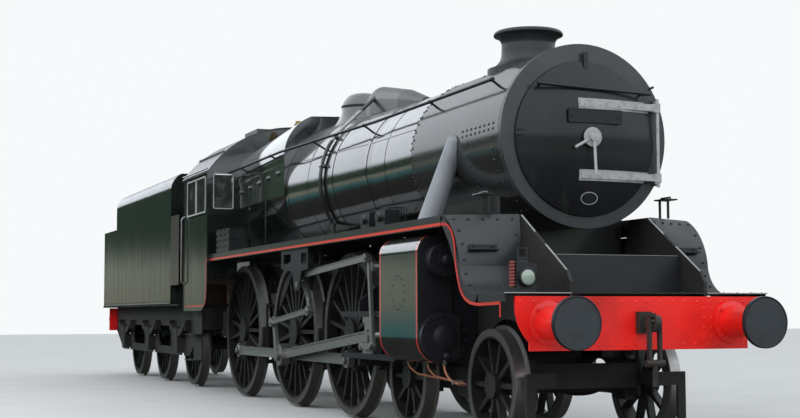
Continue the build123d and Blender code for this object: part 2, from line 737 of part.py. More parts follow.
# Door rail ends: y, height over the door's centre
door_rail_ends = ((-500, 462), (600, 420))
with BuildPart() as smokebox_door:
    with BuildSketch(Plane(origin=(door_x, 0, door_z), x_dir=(1, 0, 0), z_dir=(0, -1, 0))):
        with BuildLine():
            Line((door_bulge, 0), (door_bulge - door_thickness, 0))
            ThreePointArc(
                (door_bulge, 0), (door_bulge - 28, dish_middle_radius), (door_rim, door_radius - 6),
            )
            Polyline((door_rim, door_radius - 6), (0, door_radius), (0, door_radius - 46))
            ThreePointArc(
                (0, door_radius - 46), (door_bulge - 34 - door_thickness, dish_middle_radius - 10),
                (door_bulge - door_thickness, 0),
            )
        make_face()
    revolve(axis=Axis((door_x, 0, door_z), (1, 0, 0)))
    for z in (door_z + strap_rise, door_z - strap_drop):
        with BuildSketch(Plane.XY.offset(z - strap_half_height)):
            with BuildLine():
                Polyline(
                    (hinge_x - 10, door_hinge_y),
                    (hinge_x + 14, door_hinge_y),
                    (boss_x - 4, door_hinge_y - strap_reach),
                    (hinge_x - 10, door_hinge_y - strap_reach),
                    (door_x + 12, 620),
                    (door_x + 30, door_radius),
                    close=True,
                )
            make_face()
        extrude(amount=2 * strap_half_height)
        with BuildSketch(Plane(origin=(hinge_x - 12, 0, z), x_dir=(0, 1, 0), z_dir=(1, 0, 0))):
            with BuildLine():
                Polyline(
                    (door_hinge_y - strap_end_length, -strap_half_height),
                    (door_hinge_y, -strap_end_half_height),
                    (door_hinge_y, strap_end_half_height),
                    (door_hinge_y - strap_end_length, strap_half_height),
                    close=True,
                )
            make_face()
        extrude(amount=26)
        boss_half = strap_end_half_height
        bar((hinge_x, door_hinge_y, z - boss_half), (hinge_x, door_hinge_y, z + boss_half), strap_boss_radius)
        bar(
            (hinge_x, door_hinge_y, z - 50), (hinge_x, door_hinge_y, z + 50),
            hinge_pin_radius + running_gap,
            Mode.SUBTRACT,
        )
    bar((boss_x - 20, 0, door_z), (boss_x + 30, 0, door_z), 88)
    bar((boss_x - 20, 0, door_z), (boss_x + 70, 0, door_z), 42)
    # Dart handles: angle, reach, distance ahead of the boss
    for angle, reach, ahead in ((-152, 206, 30), (-89, 340, 55)):
        tip = (boss_x + ahead + 15, reach * cos(radians(angle)), door_z + reach * sin(radians(angle)))
        bar((boss_x + ahead, 0, door_z), tip, 13)
    for y, rise in door_rail_ends:
        bar((door_x + 8, y * 0.9, door_z + rise), (door_rail_x, y, door_z + rise), 11)
    bar(*((door_rail_x, y * 1.04, door_z + rise) for y, rise in door_rail_ends), 14)
    slab((door_x + 12, door_x + 44), (-22, 22), (door_radius + door_z - 220, door_radius + door_z - 20))
    slab((door_x + 30, door_x + 44), (-22, 22), (door_radius + door_z - 40, door_radius + door_z + 80))
    for z in (door_z + 8, door_z + 52):
        slab((door_x + 12, door_x + 45), (-door_radius + 14, -door_radius + 110), (z - 6, z + 6))
finish(smokebox_door.part, "smokebox_door")

# Saddle that carries the smokebox between the frames
saddle_half_length = 640.0
with BuildPart() as smokebox_saddle:
    slab(
        (chimney_x - saddle_half_length, chimney_x + saddle_half_length), (-frame_inner_y, frame_inner_y),
        (platform_z + 28, boiler_z - smokebox_radius * 0.5),
    )
    bar((smokebox_rear_x, 0, boiler_z), (smokebox_front_x, 0, boiler_z), smokebox_radius, Mode.SUBTRACT)
finish(smokebox_saddle.part, "smokebox_saddle")

# Boiler barrel in its cladding: a parallel front, a tapered rear, and raised bands over the joints
band_half_width = 28.0
band_proud = 5.0
band_xs = (smokebox_rear_x - 40, taper_front_x - 170, taper_front_x - 1220, firebox_front_x + 40)
with BuildPart() as boiler_barrel:
    with BuildSketch(Plane(origin=(firebox_front_x, 0, boiler_z), x_dir=(1, 0, 0), z_dir=(0, -1, 0))):
        with BuildLine():
            Polyline(
                (0, 0),
                (0, barrel_rear_radius),
                (taper_front_x - firebox_front_x, barrel_front_radius),
                (smokebox_rear_x - firebox_front_x, barrel_front_radius),
                (smokebox_rear_x - firebox_front_x, 0),
                close=True,
            )
        make_face()
        for band_x in band_xs:
            band_radius = barrel_radius_at(band_x) + band_proud
            with Locations((band_x - firebox_front_x, band_radius - 20)):
                Rectangle(2 * band_half_width, 40)
    revolve(axis=Axis((firebox_front_x, 0, boiler_z), (1, 0, 0)))
finish(boiler_barrel.part, "boiler_barrel")

# Flat-topped firebox: each section runs from the foot out to the sides, round a shoulder and over the top
# Sections: x, foot z, foot half width, side half width, side top z, shoulder half width, top z
firebox_waist_z = plate_z - 40
firebox_sections = [
    (firebox_front_x, plate_z - 880, 575.0, 925.0, boiler_z + 362, 560.0, boiler_z + 972),
    (firebox_rear_x, plate_z - 620, 575.0, 850.0, boiler_z + 242, 520.0, boiler_z + 782),
]
ashpan_half_width = 540.0
ashpan_low_z = driver_axle_z - 350
ashpan_front_x = main_x - 260
ashpan_rear_x = trail_x + 640
with BuildPart() as firebox:
    for x, foot_z, foot_y, side_y, side_z, shoulder_y, top_z in firebox_sections:
        with BuildSketch(Plane.YZ.offset(x)):
            with BuildLine():
                Polyline(
                    (0, foot_z), (foot_y, foot_z), (foot_y, firebox_waist_z), (side_y, boiler_z - 60),
                    (side_y, side_z),
                )
                ThreePointArc(
                    (side_y, side_z),
                    ((side_y + shoulder_y) / 2 + 75, (side_z + top_z) / 2 + 110),
                    (shoulder_y, top_z),
                )
                Line((shoulder_y, top_z), (0, top_z + 20))
                mirror(about=Plane.YZ)
            make_face()
    loft(ruled=True)
    with BuildSketch(Plane.XZ.offset(-ashpan_half_width)):
        with BuildLine():
            Polyline(
                (ashpan_front_x, firebox_sections[0][1] + 60),
                (ashpan_front_x, ashpan_low_z + 120),
                (ashpan_front_x - 200, ashpan_low_z),
                (ashpan_rear_x, ashpan_low_z),
                (ashpan_rear_x - 280, driver_axle_z + driver_axle_radius + 40),
                (firebox_rear_x + 80, driver_axle_z + driver_axle_radius + 40),
                (firebox_rear_x + 80, firebox_sections[1][1] + 30),
                close=True,
            )
        make_face()
    extrude(amount=2 * ashpan_half_width)
finish(firebox.part, "firebox")

# Chimney: a flared foot on the smokebox, a slightly waisted barrel and a rolled lip
chimney_foot_z = boiler_z + smokebox_radius - 110
with BuildPart() as chimney:
    with BuildSketch(Plane(origin=(chimney_x, 0, 0), x_dir=(1, 0, 0), z_dir=(0, -1, 0))):
        with BuildLine():
            Polyline((chimney_bore_radius, chimney_foot_z), (400, chimney_foot_z), (400, chimney_foot_z + 70))
            ThreePointArc((400, chimney_foot_z + 70), (298, chimney_foot_z + 130), (262, chimney_top_z - 200))
            Line((262, chimney_top_z - 200), (260, chimney_top_z - 130))
            ThreePointArc((260, chimney_top_z - 130), (282, chimney_top_z - 70), (336, chimney_top_z - 38))
            ThreePointArc((336, chimney_top_z - 38), (334, chimney_top_z - 14), (316, chimney_top_z))
            Polyline(
                (316, chimney_top_z), (chimney_bore_radius, chimney_top_z),
                (chimney_bore_radius, chimney_foot_z),
            )
        make_face()
    revolve(axis=Axis((chimney_x, 0, 0), (0, 0, 1)))
    bar((smokebox_rear_x, 0, boiler_z), (smokebox_front_x, 0, boiler_z), smokebox_radius, Mode.SUBTRACT)
finish(chimney.part, "chimney")

# Dome casing on the tapered ring
dome_foot_z = boiler_z + barrel_front_radius - 80
with BuildPart() as dome:
    with BuildSketch(Plane(origin=(dome_x, 0, 0), x_dir=(1, 0, 0), z_dir=(0, -1, 0))):
        with BuildLine():
            Polyline((0, dome_foot_z), (430, dome_foot_z), (430, dome_foot_z + 60))
            ThreePointArc((430, dome_foot_z + 60), (335, dome_foot_z + 150), (290, dome_top_z - 165))
            ThreePointArc((290, dome_top_z - 165), (220, dome_top_z - 50), (60, dome_top_z))
            Polyline((60, dome_top_z), (0, dome_top_z), (0, dome_foot_z))
        make_face()
    revolve(axis=Axis((dome_x, 0, 0), (0, 0, 1)))
    add(boiler_barrel.part, mode=Mode.SUBTRACT)
finish(dome.part, "dome")

# Top feed: a long cover that rises gently from its nose to a rounded rear, and a feed pipe down each side
# Cover sections: distance ahead of the rear end, half width, height over the cover's foot
top_feed_sections = [
    (0.0, 120.0, 242.0),
    (90.0, 190.0, 402.0),
    (340.0, 215.0, 462.0),
    (1140.0, 165.0, 308.0),
    (1660.0, 75.0, 146.0),
]
top_feed_foot_z = boiler_z + barrel_front_radius - 60
feed_pipe_radius = 22.0
feed_nut_proud = 6.0
feed_pipe_x = top_feed_rear_x + 460
feed_arc_radius = barrel_radius_at(feed_pipe_x - 60) + feed_pipe_radius + 8
feed_arc_top = 47.0
feed_arc_foot = -36.0
feed_plane = Plane(origin=(feed_pipe_x, 0, boiler_z), x_dir=(0, -1, 0), z_dir=(-1, 0, 0))
with BuildLine(feed_plane) as feed_path:
    CenterArc((0, 0), feed_arc_radius, feed_arc_foot, feed_arc_top - feed_arc_foot)
feed_foot = feed_path.line @ 0
feed_top = feed_path.line @ 1
with BuildPart() as top_feed:
    for ahead, half_width, height in top_feed_sections:
        with BuildSketch(Plane.YZ.offset(top_feed_rear_x + ahead)):
            with BuildLine():
                top_z = top_feed_foot_z + height
                shoulder_z = top_z - 0.75 * half_width
                ThreePointArc((-half_width, shoulder_z), (0, top_z), (half_width, shoulder_z))
                Polyline(
                    (half_width, shoulder_z), (half_width, top_feed_foot_z), (-half_width, top_feed_foot_z),
                    (-half_width, shoulder_z),
                )
            make_face()
    loft(ruled=True)
    with BuildSketch(Plane(origin=feed_foot, z_dir=feed_path.line % 0)):
        Circle(feed_pipe_radius)
    sweep(path=feed_path.line)
    bar(tuple(feed_top), (feed_pipe_x, -120, top_feed_foot_z + 365), feed_pipe_radius)
    bar((feed_pipe_x, feed_foot.Y, plate_z), tuple(feed_foot), feed_pipe_radius)
    with Locations(feed_foot, feed_top):
        Sphere(feed_pipe_radius + feed_nut_proud)
    mirror(about=Plane.XZ)
    add(boiler_barrel.part, mode=Mode.SUBTRACT)
finish(top_feed.part, "top_feed")

# Two safety valves on the firebox top
valve_x = firebox_rear_x + 940
valve_base_top_z = boiler_z + 982
with BuildPart() as safety_valves:
    slab((valve_x - 120, valve_x + 120), (-230, 230), (valve_base_top_z - 140, valve_base_top_z))
    for y in (-120, 120):
        bar((valve_x, y, valve_base_top_z), (valve_x, y, valve_base_top_z + 160), 62)
        bar((valve_x, y, valve_base_top_z + 160), (valve_x, y, valve_base_top_z + 200), 44)
    add(firebox.part, mode=Mode.SUBTRACT)
finish(safety_valves.part, "safety_valves")

# Outside steam pipes, from the smokebox sides down to the running plates over the cylinders
steam_pipe_low_radius = 125.0
steam_pipe_top_radius = 80.0
steam_pipe_low = Vector(chimney_x - 190, -1010, plate_z - 120)
steam_pipe_top = Vector(chimney_x + 30, 15 - smokebox_radius, boiler_z + 25)
steam_pipe_way = steam_pipe_top - steam_pipe_low
with BuildPart() as steam_pipes:
    for origin, radius in ((steam_pipe_low, steam_pipe_low_radius), (steam_pipe_top, steam_pipe_top_radius)):
        with BuildSketch(Plane(origin=origin, z_dir=steam_pipe_way)):
            Circle(radius)
    loft(ruled=True)
    with Locations(steam_pipe_top):
        Sphere(steam_pipe_top_radius)
    slab(
        (chimney_x - 600, chimney_x + 400), (-plate_half_width, -600), (plate_z - 500, plate_z),
        Mode.SUBTRACT,
    )
    bar((smokebox_rear_x - 50, 0, boiler_z), (smokebox_front_x, 0, boiler_z), smokebox_radius, Mode.SUBTRACT)
    mirror(about=Plane.XZ)
finish(steam_pipes.part, "steam_pipes")

# Handrails along the boiler on stanchions, and the ejector pipe along the left side
rail_radius = 16.0
knob_proud = 6.0
stanchion_radius = 12.0
rail_stand_off = 114.0
rail_rise = 522.0
handrail_z = boiler_z + rail_rise
rail_y = -sqrt((barrel_front_radius + rail_stand_off) ** 2 - rail_rise**2)
ejector_radius = 32.0
ejector_stand_off = 95.0
ejector_rise = 242.0
ejector_z = boiler_z + ejector_rise
ejector_y = sqrt((barrel_front_radius + ejector_stand_off) ** 2 - ejector_rise**2)
rail_points = [
    (bogie_front_x - 50, rail_y, handrail_z),
    (taper_front_x, rail_y, handrail_z),
    (firebox_front_x, -985, boiler_z + 490),
    (cab_front_x, -970, boiler_z + 470),
]
stanchion_xs = [bogie_front_x - behind for behind in (90, 1520, 3370, 4840, 6370, 7900)]
ejector_points = [
    (smokebox_rear_x + 200, 760, ejector_z - 60),
    (smokebox_rear_x + 270, ejector_y, ejector_z),
    (taper_front_x, ejector_y, ejector_z),
    (firebox_front_x, 975, ejector_z),
    (cab_front_x, 893, ejector_z),
]


def point_on(points, x):
    """Give the point at x on a line of points that runs rearwards."""
    for ahead, behind in zip(points, points[1:]):
        if x >= behind[0]:
            share = (ahead[0] - x) / (ahead[0] - behind[0])
            return tuple(a + share * (b - a) for a, b in zip(ahead, behind))
    return points[-1]


# Knobs have their poles on the rail's line, so that the rail cuts them in whole circles
pole_ahead = (0, 90, 0)
boiler_solids = [boiler_barrel.part, firebox.part]
with BuildPart() as handrails:
    for ahead, behind in zip(rail_points, rail_points[1:]):
        bar(ahead, behind, rail_radius)
    for x in stanchion_xs:
        rail_point = point_on(rail_points, x)
        bar(
            rail_point, (x, rail_point[1] * 0.75, boiler_z + (rail_point[2] - boiler_z) * 0.75),
            stanchion_radius,
        )
        with Locations(Location(rail_point, pole_ahead)):
            Sphere(rail_radius + knob_proud)
    mirror(about=Plane.XZ)
    for ahead, behind in zip(ejector_points, ejector_points[1:]):
        bar(ahead, behind, ejector_radius)
    with Locations(Location(ejector_points[1], pole_ahead)):
        Sphere(ejector_radius + knob_proud)
    bar((smokebox_rear_x, 0, boiler_z), (smokebox_front_x, 0, boiler_z), smokebox_radius, Mode.SUBTRACT)
    slab(
        (cab_front_x - 100, cab_front_x), (-cab_half_width, cab_half_width), (boiler_z, cab_eave_z),
        Mode.SUBTRACT,
    )
    for solid in boiler_solids:
        add(solid, mode=Mode.SUBTRACT)
finish(handrails.part, "handrails")

# Cylinders with their valve chests; the block's section is the cladding's, drawn in by its thickness
cladding_inner_y = 930.0
cladding_outer_y = 1270.0
cladding_top_z = plate_z - 138
cladding_thickness = 14.0
cladding_shoulder = 170.0
cylinder_radius = cladding_outer_y - cylinder_y
cover_radius = cylinder_radius - 5
cover_inner_y = 880.0
block_proud = 10.0
valve_y = cylinder_y + 30
valve_z = plate_z - 380
valve_radius = 150.0


def cylinder_outline(inset, front_x):
    """Give the section of the right cylinder and valve chest, drawn in by the inset."""
    radius = cylinder_radius - inset
    diagonal = radius * cos(radians(45))
    low = (cladding_inner_y, cylinder_z - radius + 22)
    outer = (cladding_outer_y - inset, cylinder_z)
    shoulder = (cladding_outer_y - inset, cladding_top_z - cladding_shoulder)
    top = (cladding_outer_y - cladding_shoulder, cladding_top_z - inset)
    with BuildSketch(Plane(origin=(front_x, 0, 0), x_dir=(0, -1, 0), z_dir=(-1, 0, 0))) as section:
        with BuildLine():
            ThreePointArc(low, (cylinder_y + diagonal, cylinder_z - diagonal), outer)
            Line(outer, shoulder)
            ThreePointArc(shoulder, (cladding_outer_y - inset - 45, cladding_top_z - 52), top)
            Polyline(top, (cladding_inner_y, cladding_top_z - inset), low)
        make_face()
    return section.sketch


block_outline = cylinder_outline(cladding_thickness, cylinder_front_x + block_proud)
cladding_outline = cylinder_outline(0, cylinder_front_x)
cladding_hollow = cylinder_outline(cladding_thickness, cylinder_front_x)
# Covers: y, z, radius, reach ahead, rear radius, rear reach
cover_table = [
    ("cylinder", cylinder_y, cylinder_z, cover_radius, 75.0, 190.0, 70.0),
    ("valve", valve_y, valve_z, valve_radius, 150.0, 130.0, 170.0),
]
with BuildPart() as cylinders:
    for bore, y, z, front_radius, front_reach, rear_radius, rear_reach in cover_table:
        cover_front_end = cylinder_front_x + front_reach
        bar((cylinder_front_x, -y, z), (cover_front_end, -y, z), front_radius)
        bar((cylinder_rear_x, -y, z), (cylinder_rear_x - rear_reach, -y, z), rear_radius)
        bar((cover_front_end, -y, z), (cover_front_end + 22, -y, z), front_radius * 0.45)
    slab(
        (cylinder_rear_x - 200, cylinder_rear_x), (-cladding_inner_y, 0), (cylinder_z - 400, plate_z),
        Mode.SUBTRACT,
    )
    slab(
        (cylinder_front_x, cylinder_front_x + 200), (-cover_inner_y, 0), (cylinder_z - 400, plate_z),
        Mode.SUBTRACT,
    )
    extrude(block_outline, amount=cylinder_length + 2 * block_proud)
    slab(
        (cylinder_rear_x + 215, cylinder_front_x - 25), (-cladding_inner_y, -frame_outer_y),
        (cylinder_z - 200, cladding_top_z - 320),
    )
    mirror(about=Plane.XZ)
finish(cylinders.part, "cylinders")
with BuildPart() as cylinder_cladding:
    extrude(cladding_outline, amount=cylinder_length)
    extrude(cladding_hollow, amount=cylinder_length, mode=Mode.SUBTRACT)
    mirror(about=Plane.XZ)
finish(cylinder_cladding.part, "cylinder_cladding")

# Motion of each side, worked out from its crank angle
return_crank_radius = 180.0
return_crank_lead = 95.0
eccentric_rod_length = 1480.0
link_pivot_x = main_x + 1392
link_pivot_z = driver_axle_z + 565.5
link_foot_reach = 375.0
link_top_reach = 265.0
link_half_width = 44.0
link_slot_half_width = 17.0
link_slot_reach = 205.0
link_block_rise = 130.0
trunnion_radius = 34.0
spindle_x = cylinder_rear_x - 700
radius_rod_length = spindle_x - link_pivot_x
lever_top_z = driver_axle_z + 795.5
lever_foot_z = driver_axle_z - 114.5
union_link_length = 265.0
slide_gap = 190.0
slide_thickness = 58.0
slide_rear_x = main_x + connecting_rod_length - crank_throw - 252
bracket_x = lead_x + hanger_x_offset + hanger_width / 2 + 24.5
crosshead_inner_y = 980.0
crosshead_outer_y = 1080.0
crosshead_half_length = 150.0
crosshead_pin_radius = 42.0
gear_pin_radius = 26.0
sides = [("right", -1, right_crank_angle), ("left", 1, left_crank_angle)]


def crosshead_x(crank_angle):
    """Give the crosshead pin's x for a crank angle, from the connecting rod's length."""
    pin_x, pin_z = crank_pin(main_x, crank_angle)
    return pin_x + (connecting_rod_length**2 - (pin_z - cylinder_z) ** 2) ** 0.5


def return_crank_pin(crank_angle):
    """Give the return crank pin's x and z."""
    angle = radians(crank_angle + return_crank_lead)
    return main_x + return_crank_radius * cos(angle), driver_axle_z + return_crank_radius * sin(angle)


def link_foot(crank_angle):
    """Give the expansion link foot's x and z, where the eccentric rod and the link's arm meet."""
    pin_x, pin_z = return_crank_pin(crank_angle)
    dx, dz = link_pivot_x - pin_x, link_pivot_z - pin_z
    span = (dx * dx + dz * dz) ** 0.5
    along = (eccentric_rod_length**2 - link_foot_reach**2 + span * span) / (2 * span)
    aside = (eccentric_rod_length**2 - along**2) ** 0.5
    return pin_x + (along * dx + aside * dz) / span, pin_z + (along * dz - aside * dx) / span


def link_rod(start, end, y, width, thickness, eye, flute=0.0):
    """Give a flat rod with round eyes between two points of the XZ plane, centred on y."""
    dx, dz = end[0] - start[0], end[1] - start[1]
    length = (dx * dx + dz * dz) ** 0.5
    plane = Plane(origin=(start[0], y + thickness / 2, start[1]), x_dir=(dx, 0, dz), z_dir=(0, -1, 0))
    with BuildPart() as rod:
        with BuildSketch(plane):
            with Locations((length / 2, 0)):
                Rectangle(length, width)
            with Locations((0, 0), (length, 0)):
                Circle(eye)
        extrude(amount=thickness)
        if flute:
            with BuildSketch(plane, plane.offset(thickness - flute)):
                with Locations((length / 2, 0)):
                    Rectangle(length - 2.6 * eye, width - 2 * flute)
            extrude(amount=flute, mode=Mode.SUBTRACT)
    return rod.part


def expansion_link(y, foot, thickness):
    """Give the slotted link, curved about the end of the radius rod, with its tail down to the foot."""
    down = ((foot[0] - link_pivot_x) / link_foot_reach, (foot[1] - link_pivot_z) / link_foot_reach)
    centre = (link_pivot_x - down[1] * radius_rod_length, link_pivot_z + down[0] * radius_rod_length)
    plane = Plane(
        origin=(centre[0], y + thickness / 2, centre[1]), x_dir=(-down[1], 0, down[0]), z_dir=(0, -1, 0),
    )
    tail_start = (
        link_pivot_x + down[0] * link_top_reach * 0.9, link_pivot_z + down[1] * link_top_reach * 0.9,
    )
    with BuildPart() as link:
        for half_width, reach, mode in (
            (link_half_width, link_top_reach, Mode.ADD),
            (link_slot_half_width, link_slot_reach, Mode.SUBTRACT),
        ):
            angle = degrees(reach / radius_rod_length)
            with BuildSketch(plane):
                with BuildLine():
                    near = CenterArc((0, 0), radius_rod_length - half_width, 180 - angle, 2 * angle)
                    far = CenterArc((0, 0), radius_rod_length + half_width, 180 - angle, 2 * angle)
                    Line(near @ 0, far @ 0)
                    Line(near @ 1, far @ 1)
                make_face()
            extrude(amount=thickness, mode=mode)
        tail = link_rod(tail_start, foot, y, 62, thickness, 44)
        add(tail)
    return link.part


# Coupling rods: fluted, with a boss at each crank pin; each turns with the main crank pin
coupled_boss_radius = 98.0
main_boss_radius = 118.0
coupling_rod_width = 118.0
coupling_rod_flute = 16.0
rod_middle_y = rod_inner_y + rod_thickness / 2
for side_name, side, crank_angle in sides:
    pins = [crank_pin(axle_x, crank_angle) for axle_x in (lead_x, main_x, trail_x)]
    rods = [
        link_rod(
            ahead, behind, side * rod_middle_y, coupling_rod_width, rod_thickness, coupled_boss_radius,
            coupling_rod_flute,
        )
        for ahead, behind in zip(pins, pins[1:])
    ]
    with BuildPart() as coupling_rod:
        for rod in rods:
            add(rod)
        cross_bar(*pins[1], (side * rod_inner_y, side * (rod_inner_y + rod_thickness)), main_boss_radius)
        for (x, z), radius in zip(pins, (coupled_pin_radius, main_pin_radius, coupled_pin_radius)):
            cross_bar(x, z, (side * rod_inner_y, side * pin_end_y), radius + running_gap, Mode.SUBTRACT)
    finish(coupling_rod.part, f"coupling_rod_{side_name}")

# Slide bars above and below each crosshead, with the bracket that ties them to the frame
slide_top_z = cylinder_z + slide_gap + slide_thickness
slide_low_z = cylinder_z - slide_gap - slide_thickness
slide_window_y = 940.0
bracket_thickness = 32.0
with BuildPart() as slide_bars:
    for low in (slide_top_z - slide_thickness, slide_low_z):
        slab(
            (slide_rear_x, cylinder_rear_x - 70), (-big_end_outer_y, -big_end_inner_y),
            (low, low + slide_thickness),
        )
    with BuildSketch(Plane.YZ.offset(bracket_x)):
        with BuildLine():
            Polyline(
                (-frame_outer_y, slide_low_z - 82),
                (-big_end_outer_y, slide_low_z - 70),
                (-big_end_outer_y, slide_low_z),
                (-slide_window_y, slide_low_z),
                (-slide_window_y, slide_top_z),
                (-big_end_outer_y, slide_top_z),
                (-big_end_outer_y, slide_top_z + 110),
                (-frame_outer_y, valve_z - 20),
                close=True,
            )
        make_face()
    extrude(amount=bracket_thickness)
    mirror(about=Plane.XZ)
finish(slide_bars.part, "slide_bars")

# Crossheads: slippers between the slide bars, cheeks on both sides of the rod's small end, and piston rods
cheek_thickness = 22.0
slipper_depth = 62.0
piston_rod_radius = 38.0
drop_arm_inner_y = crosshead_outer_y + 6
drop_arm_outer_y = crosshead_outer_y + 20
for side_name, side, crank_angle in sides:
    pin_x = crosshead_x(crank_angle)
    head_y_span = (side * crosshead_inner_y, side * crosshead_outer_y)
    with BuildPart() as crosshead:
        for way in (-1, 1):
            slab(
                (pin_x - crosshead_half_length, pin_x + crosshead_half_length), head_y_span,
                (
                    cylinder_z + way * (slide_gap - running_gap),
                    cylinder_z + way * (slide_gap - slipper_depth),
                ),
            )
        for near in (crosshead_inner_y, crosshead_outer_y - cheek_thickness):
            slab(
                (pin_x - 95, pin_x + crosshead_half_length), (side * near, side * (near + cheek_thickness)),
                (cylinder_z - 130, cylinder_z + 130),
            )
        slab((pin_x + 95, pin_x + crosshead_half_length), head_y_span, (cylinder_z - 130, cylinder_z + 130))
        cross_bar(
            pin_x, cylinder_z, (side * crosshead_inner_y, side * (crosshead_outer_y + 15)),
            crosshead_pin_radius,
        )
        bar(
            (pin_x + crosshead_half_length, side * cylinder_y, cylinder_z),
            (cylinder_rear_x - 70, side * cylinder_y, cylinder_z), piston_rod_radius,
        )
        slab(
            (pin_x - 30, pin_x + 30), (side * drop_arm_inner_y, side * drop_arm_outer_y),
            (lever_foot_z - 50, cylinder_z + 60),
        )
    finish(crosshead.part, f"crosshead_{side_name}")

# Connecting rods, fluted, held by the crossheads; the big end covers the main crank pin with a gap
connecting_rod_width = 112.0
connecting_rod_thickness = 52.0
connecting_rod_flute = 14.0
small_end_radius = 84.0
big_end_radius = 138.0
for side_name, side, crank_angle in sides:
    small_end = (crosshead_x(crank_angle), cylinder_z)
    big_end = crank_pin(main_x, crank_angle)
    rod = link_rod(
        small_end, big_end, side * cylinder_y, connecting_rod_width, connecting_rod_thickness,
        small_end_radius,
        connecting_rod_flute,
    )
    with BuildPart() as connecting_rod:
        add(rod)
        cross_bar(*big_end, (side * big_end_inner_y, side * big_end_outer_y), big_end_radius)
        cross_bar(
            *small_end, (side * crosshead_inner_y, side * crosshead_outer_y),
            crosshead_pin_radius + running_gap,
            Mode.SUBTRACT,
        )
    finish(connecting_rod.part, f"connecting_rod_{side_name}")

# Valve gear of each side: return crank, eccentric rod, expansion link, radius rod, combination lever
# and union link; the left side also has the reversing rod along the running plate
crank_row_y = 1108.0
link_row_y = 1110.0
lever_row_y = 1118.0
union_row_y = 1150.0
rod_row_y = 1152.0
reversing_rod_y = 1040.0
for side_name, side, crank_angle in sides:
    main_pin = crank_pin(main_x, crank_angle)
    crank_end = return_crank_pin(crank_angle)
    foot = link_foot(crank_angle)
    rise_share = link_block_rise / link_foot_reach
    rod_block = (
        link_pivot_x - (foot[0] - link_pivot_x) * rise_share,
        link_pivot_z - (foot[1] - link_pivot_z) * rise_share,
    )
    crosshead_foot = (crosshead_x(crank_angle), lever_foot_z)
    lever_foot = (crosshead_foot[0] + union_link_length, lever_foot_z)
    lever_top = (spindle_x, lever_top_z)
    pieces = [
        link_rod(main_pin, crank_end, side * crank_row_y, 92, 44, 76),
        link_rod(crank_end, foot, side * rod_row_y, 64, 40, 58, 9),
        expansion_link(side * link_row_y, foot, 40),
        link_rod(rod_block, lever_top, side * rod_row_y, 72, 34, 48, 8),
        link_rod(lever_top, lever_foot, side * lever_row_y, 56, 32, 42),
        link_rod(lever_foot, crosshead_foot, side * union_row_y, 50, 30, 40),
    ]
    # Pins: the joint's x and z, inner y, outer y
    pins = [
        (main_pin, big_end_outer_y, 1128.0),
        (crank_end, crank_row_y - 22, rod_row_y + 34),
        (foot, link_row_y - 20, rod_row_y + 32),
        (rod_block, link_row_y - 20, rod_row_y + 28),
        (lever_top, lever_row_y - 23, rod_row_y + 28),
        (lever_foot, lever_row_y - 18, union_row_y + 22),
        (crosshead_foot, drop_arm_outer_y + 1, union_row_y + 22),
    ]
    with BuildPart() as valve_gear:
        for piece in pieces:
            add(piece)
        for point, near, far in pins:
            cross_bar(*point, (side * near, side * far), gear_pin_radius)
        cross_bar(
            link_pivot_x, link_pivot_z, (side * (link_row_y - 68), side * (link_row_y + 118)),
            trunnion_radius,
        )
        bar(
            (spindle_x + 40, side * valve_y, valve_z), (cylinder_rear_x - 170, side * valve_y, valve_z),
            gear_pin_radius,
        )
        slab((spindle_x - 60, spindle_x + 60), (side * 1035, side * 1102), (valve_z - 50, valve_z + 50))
        if side > 0:
            bar(
                (link_pivot_x - 420, reversing_rod_y, plate_z + 70),
                (cab_front_x, reversing_rod_y, plate_z + 70), 24,
            )
            slab(
                (link_pivot_x - 460, link_pivot_x - 380), (reversing_rod_y - 30, reversing_rod_y + 30),
                (plate_z, plate_z + 110),
            )
    finish(valve_gear.part, f"valve_gear_{side_name}")

# Brackets that hang from the running plates and hold the expansion links between two plates
bracket_inner_y = 1070.0
bracket_outer_y = 1200.0
bracket_plate = 22.0
bracket_top_z = plate_z - valance_depth
bracket_foot_z = plate_z - 350
with BuildPart() as link_brackets:
    with BuildSketch(Plane.XZ.offset(bracket_inner_y - bracket_plate), Plane.XZ.offset(bracket_outer_y)):
        with BuildLine():
            Polyline(
                (link_pivot_x - 620, bracket_top_z),
                (link_pivot_x + 420, bracket_top_z),
                (link_pivot_x + 420, bracket_foot_z),
                (link_pivot_x + 170, bracket_foot_z - 20),
                (link_pivot_x + 90, link_pivot_z - 70),
                (link_pivot_x - 90, link_pivot_z - 70),
                (link_pivot_x - 170, bracket_foot_z - 20),
                (link_pivot_x - 620, bracket_foot_z + 30),
                close=True,
            )
        make_face()
        with Locations((link_pivot_x - 380, bracket_foot_z + 140)):
            Rectangle(300, 110, mode=Mode.SUBTRACT)
        with Locations((link_pivot_x + 270, bracket_foot_z + 130)):
            Rectangle(200, 120, mode=Mode.SUBTRACT)
        with Locations((link_pivot_x, link_pivot_z)):
            Circle(trunnion_radius + running_gap, mode=Mode.SUBTRACT)
    extrude(amount=bracket_plate)
    slab(
        (link_pivot_x - 620, link_pivot_x + 420),
        (valance_thickness + 5 - plate_half_width, bracket_plate - bracket_inner_y),
        (bracket_top_z, plate_z - sheet),
    )
    mirror(about=Plane.XZ)
finish(link_brackets.part, "link_brackets")

